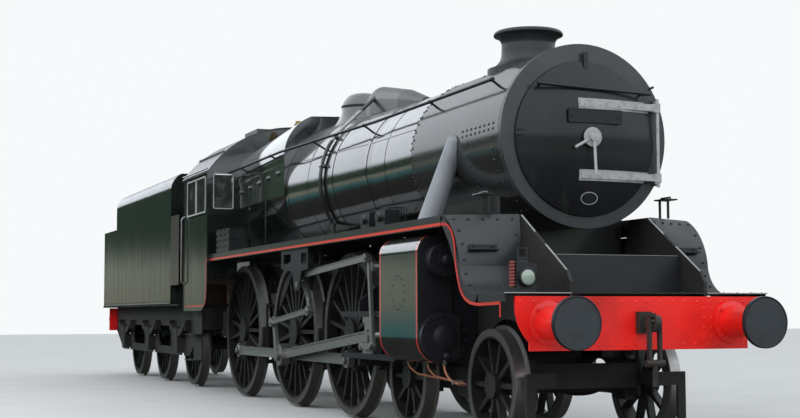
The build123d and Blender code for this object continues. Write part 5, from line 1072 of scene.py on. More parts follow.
@dataclass
class FrontEnd:
    """The buffer beam, platform, curved drop sheets, frame slopes, buffers and the head lamp."""

    beam_x: float = 9.21
    beam_rows: tuple[Pair, ...] = ((0.9, 0.98), (1.255, 1.12))
    frame_rows: tuple[float, ...] = (-0.68, -0.6, 0.6, 0.68)
    buffer_y: float = 0.87
    buffer_z: float = 1.0826
    flange_x: float = 9.236
    head_x: float = 9.7
    sheet_y: float = 1.2505
    slope_y: float = 0.64
    casing: Triple = (8.815, 0.6, 1.6566)
    lamp_place: Triple = (9.02, -0.95, 1.457)
    lamp_top: float = 1.5706
    slope: tuple[Pair, ...] = ((8.292, 2.0186), (8.667, 1.782), (8.9, 1.645), (9.106, 1.514), (9.173, 1.431))
    line: tuple[Pair, ...] = (
        (7.93, 1.951), (8.06, 1.94), (8.16, 1.87), (8.215, 1.77), (8.232, 1.605), (8.27, 1.492),
        (8.33, 1.362), (8.412, 1.293), (8.534, 1.25), (8.694, 1.236), (9.115, 1.245),
    )

    def finishes(self) -> None:
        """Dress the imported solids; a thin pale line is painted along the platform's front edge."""
        edge = Stripe((self.beam_x - 0.02, -WIDE, 1.3222), (WIDE, WIDE, 1.334))
        wear_and_highlight = replace(Coat.PLATFORM.value, name="platform_blue_black", ripple=0.004, pale=(edge,),
                       pale_colour=(0.3, 0.31, 0.31))
        dress(wear_and_highlight, "front_platform", "drop_sheets")
        dress(Coat.RED, "buffer_beam", "front_buffer_stocks")
        dress(Coat.BUFFER, "front_buffer_heads")
        dress(Coat.HOOK, "front_drawgear")

    def beam(self) -> None:
        """Rivet the beam along both edges and at the frame plates, and bolt the buffer flanges to it."""
        x = self.beam_x
        spots = [rows(0.118, *(((x, -half, z), (x, half, z)) for z, half in self.beam_rows)),
                 rows(0.08, *(((x, y, 0.96), (x, y, 1.2)) for y in self.frame_rows))]
        flange = [circle_row((self.flange_x, side * self.buffer_y, self.buffer_z), 0.15, Y, Z, 4, 45.0)
                  for side in (-1, 1)]
        heads = rivets(Rivet.BEAM, np.concatenate(spots), X)
        build("beam_rivets", [heads, bolts(Bolt.FLANGE, np.concatenate(flange), X)], Coat.RED)

    def buffers(self) -> None:
        """Edge each buffer head with a dark rim."""
        profile = [(-0.03, 0.2135), (0.001, 0.2135), (0.004, 0.206), (0.001, 0.198), (-0.03, 0.198)]
        rim = turned(profile, 64, looped)
        heads = [
            rim.placed((self.head_x, y, self.buffer_z), *FORWARD) for y in (-self.buffer_y, self.buffer_y)
        ]
        build("buffer_rims", heads, Coat.FRAME, slot="buffer_steel")

    def edges(self) -> None:
        """Line the drop sheets with red, and lay pale painted highlights on the frame slopes and the casing's
        top.
        """
        y = self.sheet_y
        line = ribbon(softened(np.array([(x, y, z) for x, z in self.line]), 0.05), Y, 0.0125)
        end_x, end_z = self.line[-1]
        tail = ribbon(row((end_x, y, end_z), (end_x, y, 1.13), 0.03), Y, 0.011, across=X)
        build("drop_sheet_red_line", [line, tail], Coat.LINING, pair=True)
        # Painted highlights: pale strips where the frame slopes' edges and the casing's top catch the light.
        slope = np.array([(x, self.slope_y, z) for x, z in self.slope])
        lift = np.cross(unit(np.gradient(slope, axis=0)), Y)
        wear_and_highlight = ribbon(slope + lift * 0.003, lift, 0.008, across=Y).both()
        x, half, z = self.casing
        top = ribbon(row((x, -half, z), (x, half, z), 0.1), Z, 0.012, across=X)
        build("painted_edge_highlights", [wear_and_highlight, top], Coat.PALE)

    def sheet_bolts(self) -> None:
        """Bolt the drop sheets along their top and down both edges, and the platform along its rims."""
        spots = [(y, 1.985) for y in (1.2, 1.08, 0.96, 0.84, 0.72)]
        spots += [(1.2, z) for z in (1.88, 1.76, 1.62, 1.5, 1.4)]
        spots += [(0.7, z) for z in (1.85, 1.7, 1.55, 1.42)]
        heads = bolts(Bolt.SHEET, *struck("drop_sheets", np.array([(9.1, *spot) for spot in spots]), BACK))
        z = D.platform
        rims = [row((8.75, 1.21, z), (9.18, 1.21, z), 0.105), row((9.185, 1.1, z), (9.185, 0.12, z), 0.14)]
        tops = rivets(Rivet.PLATFORM, np.concatenate(rims), Z)
        build("drop_sheet_bolts", [heads, tops], Coat.FRAME, pair=True)

    def ledges(self) -> None:
        """Fold a small foot ledge out of each drop sheet's face, with a lip and two bolts."""
        profile = [
            (0.0, -0.006), (0.05, -0.006), (0.054, -0.002), (0.054, 0.007), (0.049, 0.007), (0.048, 0.002),
            (0.005, 0.002), (0.004, 0.045), (0.0, 0.045),
        ]
        plate = slab(profile, (8.298, 1.154, 1.712), X, Z, 0.272)
        heads = bolts(Bolt.LEDGE, [(8.305, 0.93, 1.742), (8.305, 1.11, 1.742)], X)
        build("sheet_foot_ledges", [plate, heads], Coat.PLATFORM, pair=True)

    def lamp(self) -> None:
        """Glaze the head lamp in a dark ring, cap its chimney and hang the red louvred shade beside it."""
        x, y, z = self.lamp_place
        bezel = turned(
            [(-0.02, 0.078), (0.006, 0.078), (0.012, 0.07), (0.006, 0.063), (-0.02, 0.063)], 40, looped
        )
        build("lamp_bezel", bezel.placed((x, y, z), *FORWARD), Coat.FRAME)
        dome = [(0.018 * math.cos(a), 0.064 * math.sin(a)) for a in np.radians((80, 60, 40, 20, 4))]
        lens = turned([(-0.004, 0.064), *dome], 40).placed((x + 0.002, y, z), *FORWARD)
        build("lamp_lens", lens, Glass("lamp_lens_glass", colour=(0.36, 0.44, 0.37), cover=0.9))
        cap = turned(
            [(-0.004, 0.05), (0.012, 0.05), (0.02, 0.036), (0.036, 0.034), (0.044, 0.042), (0.052, 0.03)]
        )
        hinge = piped([(x - 0.04, y + 0.094, z - 0.07), (x - 0.04, y + 0.094, z + 0.08)], 0.007)
        build("lamp_cap", [cap.placed((x - 0.09, y, self.lamp_top)), hinge], Coat.PLATFORM)
        bars = [block((x - 0.11, y - 0.118, h), (x - 0.03, y - 0.1, h + 0.02))
                for h in np.arange(1.38, 1.57, 0.027)]
        build("lamp_red_louvre", bars, Coat.DULL_RED)

    def make(self) -> None:
        """Build the front end."""
        for step in (
            self.finishes, self.beam, self.buffers, self.edges, self.sheet_bolts, self.ledges, self.lamp
        ):
            step()


@dataclass
class Smokebox:
    """The smokebox, its riveting, the dished door with its fittings, and the blank plates."""

    front_x: float = 8.285
    door_z: float = 2.7186
    boss_x: float = 8.4345
    ends: tuple[tuple[float, int], ...] = ((8.2, 72), (6.19, 60))
    plate_place: Triple = (8.404, 0.04, 2.91)
    plate_stands: Pair = (-0.19, 0.27)
    bracket_top: float = 2.2

    def on_door(self, spots: Sequence[Pair]) -> tuple[Array, Array]:
        """Give the door's surface points at (y, z) places, and the outward directions there."""
        return struck("smokebox_door", np.array([(self.front_x + 1, y, z) for y, z in spots]), BACK)

    def finishes(self) -> None:
        """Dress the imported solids."""
        dress(Coat.SMOKEBOX, "smokebox", "smokebox_saddle")
        dress(Coat.CHIMNEY, "chimney")
        dress(Coat.RING, "smokebox_front")
        dress(Coat.DOOR, "smokebox_door")
        dress(Coat.PIPE_GREY, "steam_pipes")

    def rivets(self) -> None:
        """Rivet the shell: full rows at both ends, a double seam along each side, and the saddle's flange."""
        spots = [(x, n * 360 / count) for x, count in self.ends for n in range(count)]
        seams = (
            (np.arange(7.42, 8.12, 0.095), (7.5, 4.0)), ((7.52, 8.06), np.arange(-46, 2, 7.5)),
            (np.arange(6.3, 8.12, 0.11), (-55,)), ((7.0, 7.36), np.arange(62, 78, 4)),
        )
        spots += [(x, side) for xs, angles in seams for x in xs for a in angles for side in (a, 180 - a)]
        heads = rivets(Rivet.SHELL, *about_axis(*np.array(spots, float).T, D.smokebox_radius), X)
        build("smokebox_rivets", heads, Coat.SMOKEBOX)

    def plates(self) -> None:
        """Hang a blank number plate across the door and a small blank oval plate below it."""
        x, y, z = self.plate_place
        outline = rounded(0.27, 0.063, 0.012)
        backing = slab(outline, (x, y, z), Y, Z, 0.012)
        edge = hoop(lifted(outline, (x + 0.008, y, z), Y, Z), X, 0.009, 0.006)
        stand = turned([(0, 0.014), (0.05, 0.014)], 10)
        stands = [stand.placed((x - 0.046, side, z), *FORWARD) for side in self.plate_stands]
        heads = bolts(Bolt.BLANK_PLATE, [(x + 0.012, side, z) for side in self.plate_stands], X)
        build("blank_number_plate", [backing, edge, *stands, heads], Coat.FRAME, Body.DOOR, "smokebox_black")
        (place,), (out,) = self.on_door([(0.0, 2.18)])
        rise = unit(np.cross(out, Y))
        angle = np.linspace(0, TURN, 40, endpoint=False)
        oval = np.stack([0.085 * np.cos(angle), 0.058 * np.sin(angle)], -1)
        plate = slab(oval, place - out * 0.004, Y, rise, 0.009)
        build("blank_oval_plate", plate, Coat.FRAME, Body.DOOR, "smokebox_black")
        rim = hoop(lifted(oval, place + out * 0.003, Y, rise), out, 0.007, 0.004)
        build("oval_plate_rim", rim, Coat.PALE, Body.DOOR)

    def door_trim(self) -> None:
        """Bead the door's rim, round the boss with a pale disc, and rivet the straps."""
        bead = turned([(0.0, 0.7), (0.012, 0.698), (0.018, 0.69), (0.012, 0.682), (0.0, 0.68)], 96, looped)
        build(
            "door_rim_bead", bead.placed((self.front_x + 0.004, 0, self.door_z), *FORWARD), Coat.DOOR,
            Body.DOOR,
        )
        disc = turned([(0.0, 0.0885), (0.004, 0.0885), (0.009, 0.083), (0.011, 0.05), (0.011, 0.044)], 40)
        build("door_boss_disc", disc.placed((self.boss_x, 0, self.door_z), *FORWARD), Coat.PALE, Body.DOOR)
        spots = [(y, z) for z in (3.02, 2.38) for y in (-0.06, 0.1, 0.3, 0.48)]
        build("door_strap_rivets", rivets(Rivet.STRAP, *self.on_door(spots)), Coat.PALE, Body.DOOR)

    def fittings(self) -> None:
        """Stand the small clip on the front ring and a bracket on each side of the smokebox."""
        clip = piped([(self.front_x - 0.03, 0.66, 3.2), (self.front_x + 0.04, 0.7, 3.22)], 0.012)
        y, z = 0.93, self.bracket_top
        top = slab(rounded(0.1, 0.07, 0.01), (8.13, y, z), X, Y, 0.012)
        legs = [block((x - 0.01, y - 0.03, D.plate), (x + 0.01, y - 0.01, z), 0.003) for x in (8.06, 8.2)]
        lid = piped([(8.05, y, z + 0.012), (8.05, y, z + 0.026), (8.21, y, z + 0.026), (8.21, y, z + 0.012)],
                    0.008, 8, 0.01)
        build("smokebox_fittings", [clip, Shape.join([top, *legs, lid]).both()], Coat.SMOKEBOX)

    def make(self) -> None:
        """Build the smokebox."""
        for step in (self.finishes, self.rivets, self.plates, self.door_trim, self.fittings):
            step()


@dataclass
class Boiler:
    """The barrel, firebox, dome and top feed: seams, bands, plugs and pipes."""

    bands: tuple[float, ...] = (6.11, 4.78, 3.73, 2.13)
    seam_angle: float = 22.0
    feed_x: float = 3.44
    firebox_front: float = 2.09
    firebox_length: float = 2.91
    firebox_bands_x: Pair = (1.16, 0.28)
    lubricators: Pair = (6.17, 5.73)

    def finishes(self) -> None:
        """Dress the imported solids; the top feed's pipes are pale half way up."""
        dress(Coat.BOILER, "boiler_barrel", "firebox", "dome")
        pipe = Stripe((self.feed_x - 0.06, 0.3, 3.24), (self.feed_x + 0.06, WIDE, 3.62))
        feed = Enamel(
            "feed_black", colour=(0.016, 0.018, 0.018), roughness=0.3, coat=0.35, dust=0.14, streaks=0.08,
            pale=pipe.both(), pale_colour=PALE_PAINT,
        )
        dress(feed, "top_feed")
        dress(Coat.BRASS, "safety_valves")
        dress(Coat.FRAME, "handrails")

    def on_barrel(self, x: float | Array, angle: float | Array, lift: float = 0.0) -> tuple[Array, Array]:
        """Give points over the barrel's cladding, parallel and then tapered, and the way out."""
        share = np.clip((D.taper_front - np.array(x, float)) / D.taper_length, 0, 1)
        return about_axis(x, angle, D.barrel_radius + share * D.barrel_growth + lift)

    def seams(self) -> None:
        """Lap the cladding sheets: a seam along each side, and round seams between the bands."""
        path, out = self.on_barrel(np.linspace(6.08, 2.16, 40), self.seam_angle, 0.001)
        pieces = [ribbon(path, out, 0.006, 0.0035).both()]
        for x in (5.35, 2.9):
            path, out = self.on_barrel(x, np.linspace(-62, 242, 90), 0.0005)
            pieces.append(ribbon(path, out, 0.007, 0.003, X))
        build("cladding_seams", pieces, Coat.BOILER)

    def band_bolts(self) -> None:
        """Join each band's ends below with two clips, and screw the seams down."""
        xs, angles = np.meshgrid(self.bands, (-66.0, 246.0), indexing="ij")
        clips = bolts(Bolt.BAND_CLIP, *self.on_barrel(xs.ravel(), angles.ravel(), 0.006))
        screws = rivets(Rivet.FINE, *self.on_barrel(np.linspace(6.0, 2.2, 28), self.seam_angle, 0.0035))
        build("band_fastenings", [clips, screws.both()], Coat.BOILER)

    def rear_row(self) -> None:
        """Rivet the smokebox's lap over the barrel with a close row all the way round."""
        heads = rivets(Rivet.LAP, *self.on_barrel(6.145, np.arange(0, 360, 5.0), 0.016), X)
        build("barrel_joint_rivets", heads, Coat.SMOKEBOX)

    def plugs(self) -> None:
        """Screw washout plugs in domed covers along both firebox shoulders."""
        cover = turned(
            [(-0.02, 0.05), (0.004, 0.05), (0.012, 0.044), (0.016, 0.024), (0.034, 0.022), (0.036, 0.014)],
            20,
        )
        xs = np.linspace(1.8, -0.2, 5)
        share = (self.firebox_front - xs) / self.firebox_length
        places = np.stack([xs, 0.915 - share * 0.07, 3.0 - share * 0.12], -1)
        build("washout_plugs", cover.spread(places, (0, 1, 0.12)), Coat.BOILER, pair=True)

    def firebox_bands(self) -> None:
        """Strap the firebox cladding with two flat bands down each side."""
        pieces = []
        for x in self.firebox_bands_x:
            share = (self.firebox_front - x) / self.firebox_length
            y, top = 0.9275 - share * 0.075, 3.07 - share * 0.12
            pieces.append(ribbon(row((x, y, 2.1), (x, y, top), 0.2), Y, 0.026, 0.003, X))
        build("firebox_side_bands", pieces, Coat.BOILER, pair=True)

    def pipes(self) -> None:
        """Run thin dark oil pipes from the lubricators down through the plate, and one along it."""
        pieces = []
        for x, k in ((x, k) for x in self.lubricators for k in range(3)):
            start, y = x - 0.05 + 0.05 * k, 1.04 + 0.03 * k
            path = [(start, y, 2.19), (start, y, 2.225), (start + 0.09, 0.95 - 0.01 * k, 2.225),
                    (start + 0.1, 0.94, 2.03)]
            pieces.append(piped(path, 0.005, 6, 0.03))
        pieces.append(piped([(5.5, 0.92, 2.05), (2.4, 0.98, 2.05), (0.6, 0.98, 2.05)], 0.013, 8, 0.05))
        build("lubricator_pipes", pieces, Coat.FRAME, pair=True)

    def feed_clips(self) -> None:
        """Clamp the top feed's pipes to the barrel."""
        clip = block((-0.05, -0.02, -0.01), (0.05, 0.02, 0.05), 0.006)
        places = self.on_barrel(np.full(2, self.feed_x), (38.0, 12.0), 0.012)
        build("feed_pipe_clips", clip.spread(*places, X), Coat.BOILER, pair=True)

    def make(self) -> None:
        """Build the boiler's dressing."""
        for step in (
            self.finishes, self.seams, self.band_bolts, self.rear_row, self.plugs, self.firebox_bands,
            self.pipes, self.feed_clips,
        ):
            step()


@dataclass
class Running:
    """Main frames, running plates and what is fastened along them."""

    line: Pair = (1.9386, 1.9636)
    line_end: float = 7.94
    joints: tuple[float, ...] = (1.0, 2.6, 4.2, 5.2, 7.0)
    tool_box: tuple[float, float, float, float] = (-0.25, 0.45, -1.215, 2.3486)
    frame_y: float = 0.6545
    riveted: tuple[Triple, ...] = (
        (5.6, 1.1, 1.7), (5.45, 1.1, 1.7), (3.3, 1.0, 1.6), (3.15, 1.0, 1.6), (0.95, 1.0, 1.6),
        (0.8, 1.0, 1.6), (-1.2, 1.0, 1.5), (7.5, 1.5, 1.95), (7.9, 1.5, 1.95), (8.2, 1.4, 1.9),
    )

    def finishes(self) -> None:
        """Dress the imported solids; a red line runs along each valance."""
        dress(Coat.UNDER, "frame_stretchers", "driver_axleboxes", "brake_gear", "cab_steps", "main_frames")
        stripe = Stripe((-WIDE, 1.2, self.line[0]), (self.line_end, WIDE, self.line[1]))
        plate = Enamel(
            "running_plate_black", colour=(0.013, 0.0148, 0.0165), roughness=0.3, coat=0.6, dust=0.12,
            streaks=0.08, dust_colour=(0.17, 0.16, 0.14), ripple=0.003, stripes=stripe.both(),
        )
        dress(plate, "running_plates")

    def plates(self) -> None:
        """Screw the plates down along both edges and across each joint, and cover the joints with strips."""
        z = D.plate
        edges = [row((-0.3, 1.22, z), (7.9, 1.22, z), 0.16), row((-0.3, 0.98, z), (2.0, 0.98, z), 0.2)]
        across = rows(0.09, *(((x, 0.84, z), (x, 1.2, z)) for x in self.joints))
        heads = rivets(Rivet.PLATE, np.concatenate([*edges, across]), Z)
        build("running_plate_screws", heads, Coat.FRAME, pair=True)
        strips = [
            ribbon(row((x + 0.03, 0.7, z), (x + 0.03, 1.24, z), 0.1), Z, 0.02, 0.003, X)
            for x in self.joints
        ]
        build("plate_joint_strips", strips, Coat.PLATFORM, pair=True)

    def box_trim(self) -> None:
        """Edge the right tool box's lid, hasp its front and lay three ribs along it."""
        x0, x1, y, z = self.tool_box
        front, rear_x, ahead_x = y - 0.012, x0 - 0.012, x1 + 0.012
        lid = hoop(
            [(rear_x, -1.0, z), (rear_x, front, z), (ahead_x, front, z), (ahead_x, -1.0, z)], Z, 0.03, 0.008
        )
        hasp = [block((x - 0.018, front, z - 0.09), (x + 0.018, y, z + 0.004), 0.003) for x in (0.0, 0.2)]
        ribs = [block((x0, y - 0.008, h), (x1, y, h + 0.012), 0.003) for h in (2.1, 2.19, 2.28)]
        build("tool_box_trim", [lid, *hasp, *ribs], Coat.PLATFORM)

    def frames(self) -> None:
        """Rivet the main frames where the stretchers, springs and guides are fastened on."""
        spots = rows(
            0.085, *(((x, self.frame_y, low), (x, self.frame_y, high)) for x, low, high in self.riveted)
        )
        build("frame_rivets", rivets(Rivet.FRAME, spots, Y), Coat.UNDER, pair=True)

    def make(self) -> None:
        """Build the running plates' dressing."""
        for step in (self.finishes, self.plates, self.box_trim, self.frames):
            step()


@dataclass
class Cylinders:
    """The cylinder cladding, covers, drain pipes and valve spindles of both sides."""

    rear_x: float = 6.43
    front_x: float = 7.42
    cylinder: Pair = (1.03, 0.9426)
    valve: Pair = (1.06, 1.6486)
    cladding_y: float = 1.2705
    drains: Triple = (6.59, 7.08, 7.47)
    drain_end: Triple = (7.69, 1.0, 0.545)

    def finishes(self) -> None:
        """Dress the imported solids; a red line runs up both edges of each cladding."""
        dress(Coat.FRAME, "cylinders", "link_brackets", "slide_bars")
        lines = [
            stripe
            for x in (6.445, 7.382)
            for stripe in Stripe((x, 0.9, 0.5), (x + 0.023, WIDE, 1.885)).both()
        ]
        # Partly painted reflection: the cladding is black, and the green tint in this colour stands for green
        # surroundings seen in its gloss.
        cladding = Enamel(
            "cladding_gloss", colour=(0.010, 0.0135, 0.0135), roughness=0.13, dust=0.1, streaks=0.06,
            ripple=0.005, stripes=tuple(lines),
        )
        dress(cladding, "cylinder_cladding")

    def covers(self) -> None:
        """Bolt the cylinder and valve covers round, and cap their middles."""
        x, (y, z), (vy, vz) = self.front_x, self.cylinder, self.valve
        cap = turned([(0, 0.12), (0.012, 0.118), (0.03, 0.09), (0.036, 0.05), (0.037, 0.012)], 36)
        tube = turned([(0, 0.05), (0.09, 0.05), (0.1, 0.042), (0.104, 0.012)])
        relief = turned([(0, 0.035), (0.05, 0.035), (0.06, 0.024), (0.075, 0.024), (0.08, 0.012)], 16)
        parts = [
            bolts(Bolt.CYLINDER, circle_row((x + 0.068, y, z), 0.205, Y, Z, 14, 5.0), X),
            bolts(Bolt.VALVE, circle_row((x + 0.142, vy, vz), 0.125, Y, Z, 10, 9.0), X),
            cap.placed((x + 0.074, y, z), *FORWARD), tube.placed((x + 0.15, vy, vz), *FORWARD),
            relief.placed((x + 0.07, y, z - 0.17), *FORWARD),
        ]
        build("cylinder_cover_studs", parts, Coat.FRAME, pair=True)

    def screws(self) -> None:
        """Screw the cladding along its edges, with the ring of screws over the middle of its side."""
        y = self.cladding_y
        edges = rows(0.1, *(((x, y, 1.0), (x, y, 1.8)) for x in (self.rear_x + 0.012, self.front_x - 0.008)))
        heads = [
            rivets(Rivet.CLADDING, circle_row((6.93, y, 1.36), 0.16, X, Z, 14), Y),
            rivets(Rivet.CLADDING_EDGE, edges, Y),
        ]
        build("cladding_screws", heads, Coat.FRAME, pair=True)

    def pipes(self) -> None:
        """Bend each side's copper drain pipes down from the cylinder and forward to one clip."""
        end_x, end_y, end_z = self.drain_end
        y = self.cylinder[0]
        pieces = []
        for x, aside in zip(self.drains, (-0.03, 0.0, 0.03)):
            path = [
                (x, y, 0.74), (x, y, 0.66), (x + 0.09, end_y + aside, 0.585), (end_x, end_y + aside, end_z),
                (end_x + 0.12, end_y + aside, end_z - 0.012),
            ]
            pieces.append(piped(path, 0.012, 10, 0.06))
        build("drain_pipes", pieces, Coat.COPPER, pair=True)
        cock = turned([(0, 0.022), (0.03, 0.03), (0.07, 0.03), (0.09, 0.02)], 14)
        clip = block((end_x, end_y - 0.055, end_z - 0.02), (end_x + 0.025, end_y + 0.055, end_z + 0.02))
        build(
            "drain_cocks", [*(cock.placed((x, y, 0.69)) for x in self.drains), clip], Coat.MOTION, pair=True
        )

    def make(self) -> None:
        """Build the cylinders' dressing."""
        for step in (self.finishes, self.covers, self.screws, self.pipes):
            step()


@dataclass
class Motion:
    """Rods, valve gear and wheels: their finishes, and the nuts on the coupling rods' pins."""

    def finishes(self) -> None:
        """Dress the rods and gear, and each wheelset about its own axle."""
        for node in ("connecting_rod", "coupling_rod", "crosshead", "valve_gear"):
            dress(Coat.MOTION, f"{node}_left", f"{node}_right")
        for kind, names, axles, (z, radius) in (
            ("driver", ("lead", "main", "trail"), D.coupled_axles, D.coupled_wheel),
            ("bogie", ("front", "rear"), D.bogie_axles, D.bogie_wheel),
            ("tender", ("front", "middle", "rear"), D.tender_axles, D.tender_wheel),
        ):
            for name, x in zip(names, axles):
                paintwork = Wheelwork(f"{kind}_{name}_paint", axle=(x, z), tread=radius)
                dress(paintwork, f"{kind}_wheels_{name}")

    def rod_nuts(self) -> None:
        """Close each coupling rod's end pins with a washer and a nut."""
        washer = turned([(-0.004, 0.07), (0.006, 0.07), (0.01, 0.064), (0.01, 0.03)], 28)
        lead, _, trail = D.coupled_axles
        for side, sign, angle, body in (("right", -1, D.right_crank, Body.ROD_RIGHT),
                                        ("left", 1, D.left_crank, Body.ROD_LEFT)):
            low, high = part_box(f"coupling_rod_{side}")
            y = high[1] if sign > 0 else low[1]
            pins = np.array([(x, y, z) for x, z in (D.crank_pin(axle, angle) for axle in (lead, trail))])
            out = np.array((0, sign, 0))
            pieces = [washer.spread(pins, out), bolts(Bolt.CRANK_PIN, pins + out * 0.008, out)]
            build(f"coupling_rod_nuts_{side}", pieces, Coat.BRIGHT, body)

    def make(self) -> None:
        """Build the motion's dressing."""
        self.finishes()
        self.rod_nuts()


@dataclass
class Cab:
    """The cab's sheets: window frames, glass, beading, red lining, and the fittings on the backhead."""

    half_width: float = 1.3
    front_x: float = -0.51
    rear_x: float = -1.95
    side_windows: Pair = (-0.905, -1.445)
    window_z: float = 2.9036
    window_half: Pair = (0.25, 0.295)
    front_window: tuple[float, float, float, float] = (1.06, 2.9486, 0.135, 0.245)
    bottom_z: float = 1.2186
    eave_z: float = 3.2406
    gauge_places: tuple[Triple, ...] = (
        (0.0, 3.42, 0.09), (-0.34, 3.36, 0.075), (0.34, 3.36, 0.075), (-0.62, 3.2, 0.06),
    )

    def finishes(self) -> None:
        """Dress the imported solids."""
        dress(Coat.BOILER, "cab_front")
        dress(Coat.SIDE, "cab_sides")
        dress(Coat.SMOKEBOX, "cab_roof")
        dress(Coat.PLANKS, "cab_floor")

    def side_frames(self) -> None:
        """Frame the side windows in thin pale beading and glaze them just inside the sheet."""
        (half_x, half_z), y, z = self.window_half, self.half_width, self.window_z
        flat = rounded(half_x + 0.018, half_z + 0.018, 0.05)
        pane = rounded(half_x - 0.004, half_z - 0.004, 0.03)
        frames = [hoop(lifted(flat, (x, y - 0.002, z), Z, X), Y, 0.024, 0.009) for x in self.side_windows]
        build("cab_window_frames", frames, Coat.PALE, pair=True)
        panes = [slab(pane, (x, y - 0.018, z), Z, X, 0.005) for x in self.side_windows]
        build("cab_side_glass", panes, Coat.GLASS, pair=True)

    def front_frames(self) -> None:
        """Frame and glaze the two tall windows of the front sheet."""
        y, z, half_y, half_z = self.front_window
        flat = rounded(half_y + 0.016, half_z + 0.016, 0.03)
        rim = hoop(lifted(flat, (self.front_x - 0.001, y, z), Y, Z), X, 0.013, 0.01)
        build("cab_front_window_frames", rim, Coat.PALE, pair=True)
        pane = rounded(half_y - 0.004, half_z - 0.004, 0.02)
        glass = slab(pane, (self.front_x - 0.012, y, z), Y, Z, 0.005)
        build("cab_front_glass", glass, Coat.GLASS, pair=True)

    def lining(self) -> None:
        """Line the cab side in red: along the bottom, round the front corner and up the front edge."""
        corner = arc_points((self.front_x - 0.2, self.bottom_z + 0.24), 0.17, -90, 0, 9)
        flat = [(self.rear_x + 0.04, self.bottom_z + 0.07), *corner, (self.front_x - 0.03, 1.98)]
        path = np.array([(x, self.half_width + 0.0006, z) for x, z in flat])
        build("cab_red_lining", ribbon(path, Y, 0.0085, 0.001), Coat.LINING, pair=True)

    def beading(self) -> None:
        """Edge the cab's rear opening with beading and a handrail, and gutter the roof above the windows."""
        y, rear = self.half_width, self.rear_x
        post = [(rear - 0.004, y - 0.006, z) for z in (self.bottom_z + 0.03, self.eave_z - 0.02)]
        gutter = [(x, y + 0.004, self.eave_z + 0.03) for x in (self.front_x, rear - 0.1)]
        build("cab_beading", [piped(post, 0.016, 10), piped(gutter, 0.012)], Coat.BOILER, pair=True)
        rail = [
            (rear + 0.03, y + out, z)
            for out, z in ((0.002, 1.62), (0.05, 1.66), (0.05, 2.62), (0.002, 2.66))
        ]
        build("cab_handrails", piped(rail, 0.012, 10, 0.03), Coat.BRIGHT, pair=True)

    def gauges(self) -> None:
        """Set brass-rimmed gauges with plain pale faces and a pointer over the backhead, facing the crew."""
        rims, faces, hands = [], [], []
        x = self.front_x - 0.35
        for y, z, r in self.gauge_places:
            rim = turned(
                [(0, r), (0.03, r), (0.036, r * 0.94), (0.03, r * 0.87), (0.0, r * 0.87)], 36, looped
            )
            stem = turned([(-0.3, 0.008), (0.0, 0.008)], 8)
            rims += [rim.placed((x, y, z), *REARWARD), stem.placed((x, y, z - r * 0.6), *REARWARD)]
            faces.append(
                turned([(0.0, r * 0.9), (0.016, r * 0.88), (0.018, 0.01)], 36).placed((x, y, z), *REARWARD)
            )
            hand = [(-0.006, -0.02), (0.006, -0.02), (0.002, r * 0.75), (-0.002, r * 0.75)]
            hands.append(slab(hand, (x - 0.02, y, z), (0, -0.8, 0.6), (0, 0.6, 0.8), 0.003))
        build("gauge_rims", rims, Coat.BRASS)
        build("gauge_faces", faces, Coat.CREAM)
        build("gauge_hands", hands, Coat.FRAME)

    def make(self) -> None:
        """Build the cab's dressing."""
        for step in (
            self.finishes, self.side_frames, self.front_frames, self.lining, self.beading, self.gauges
        ):
            step()


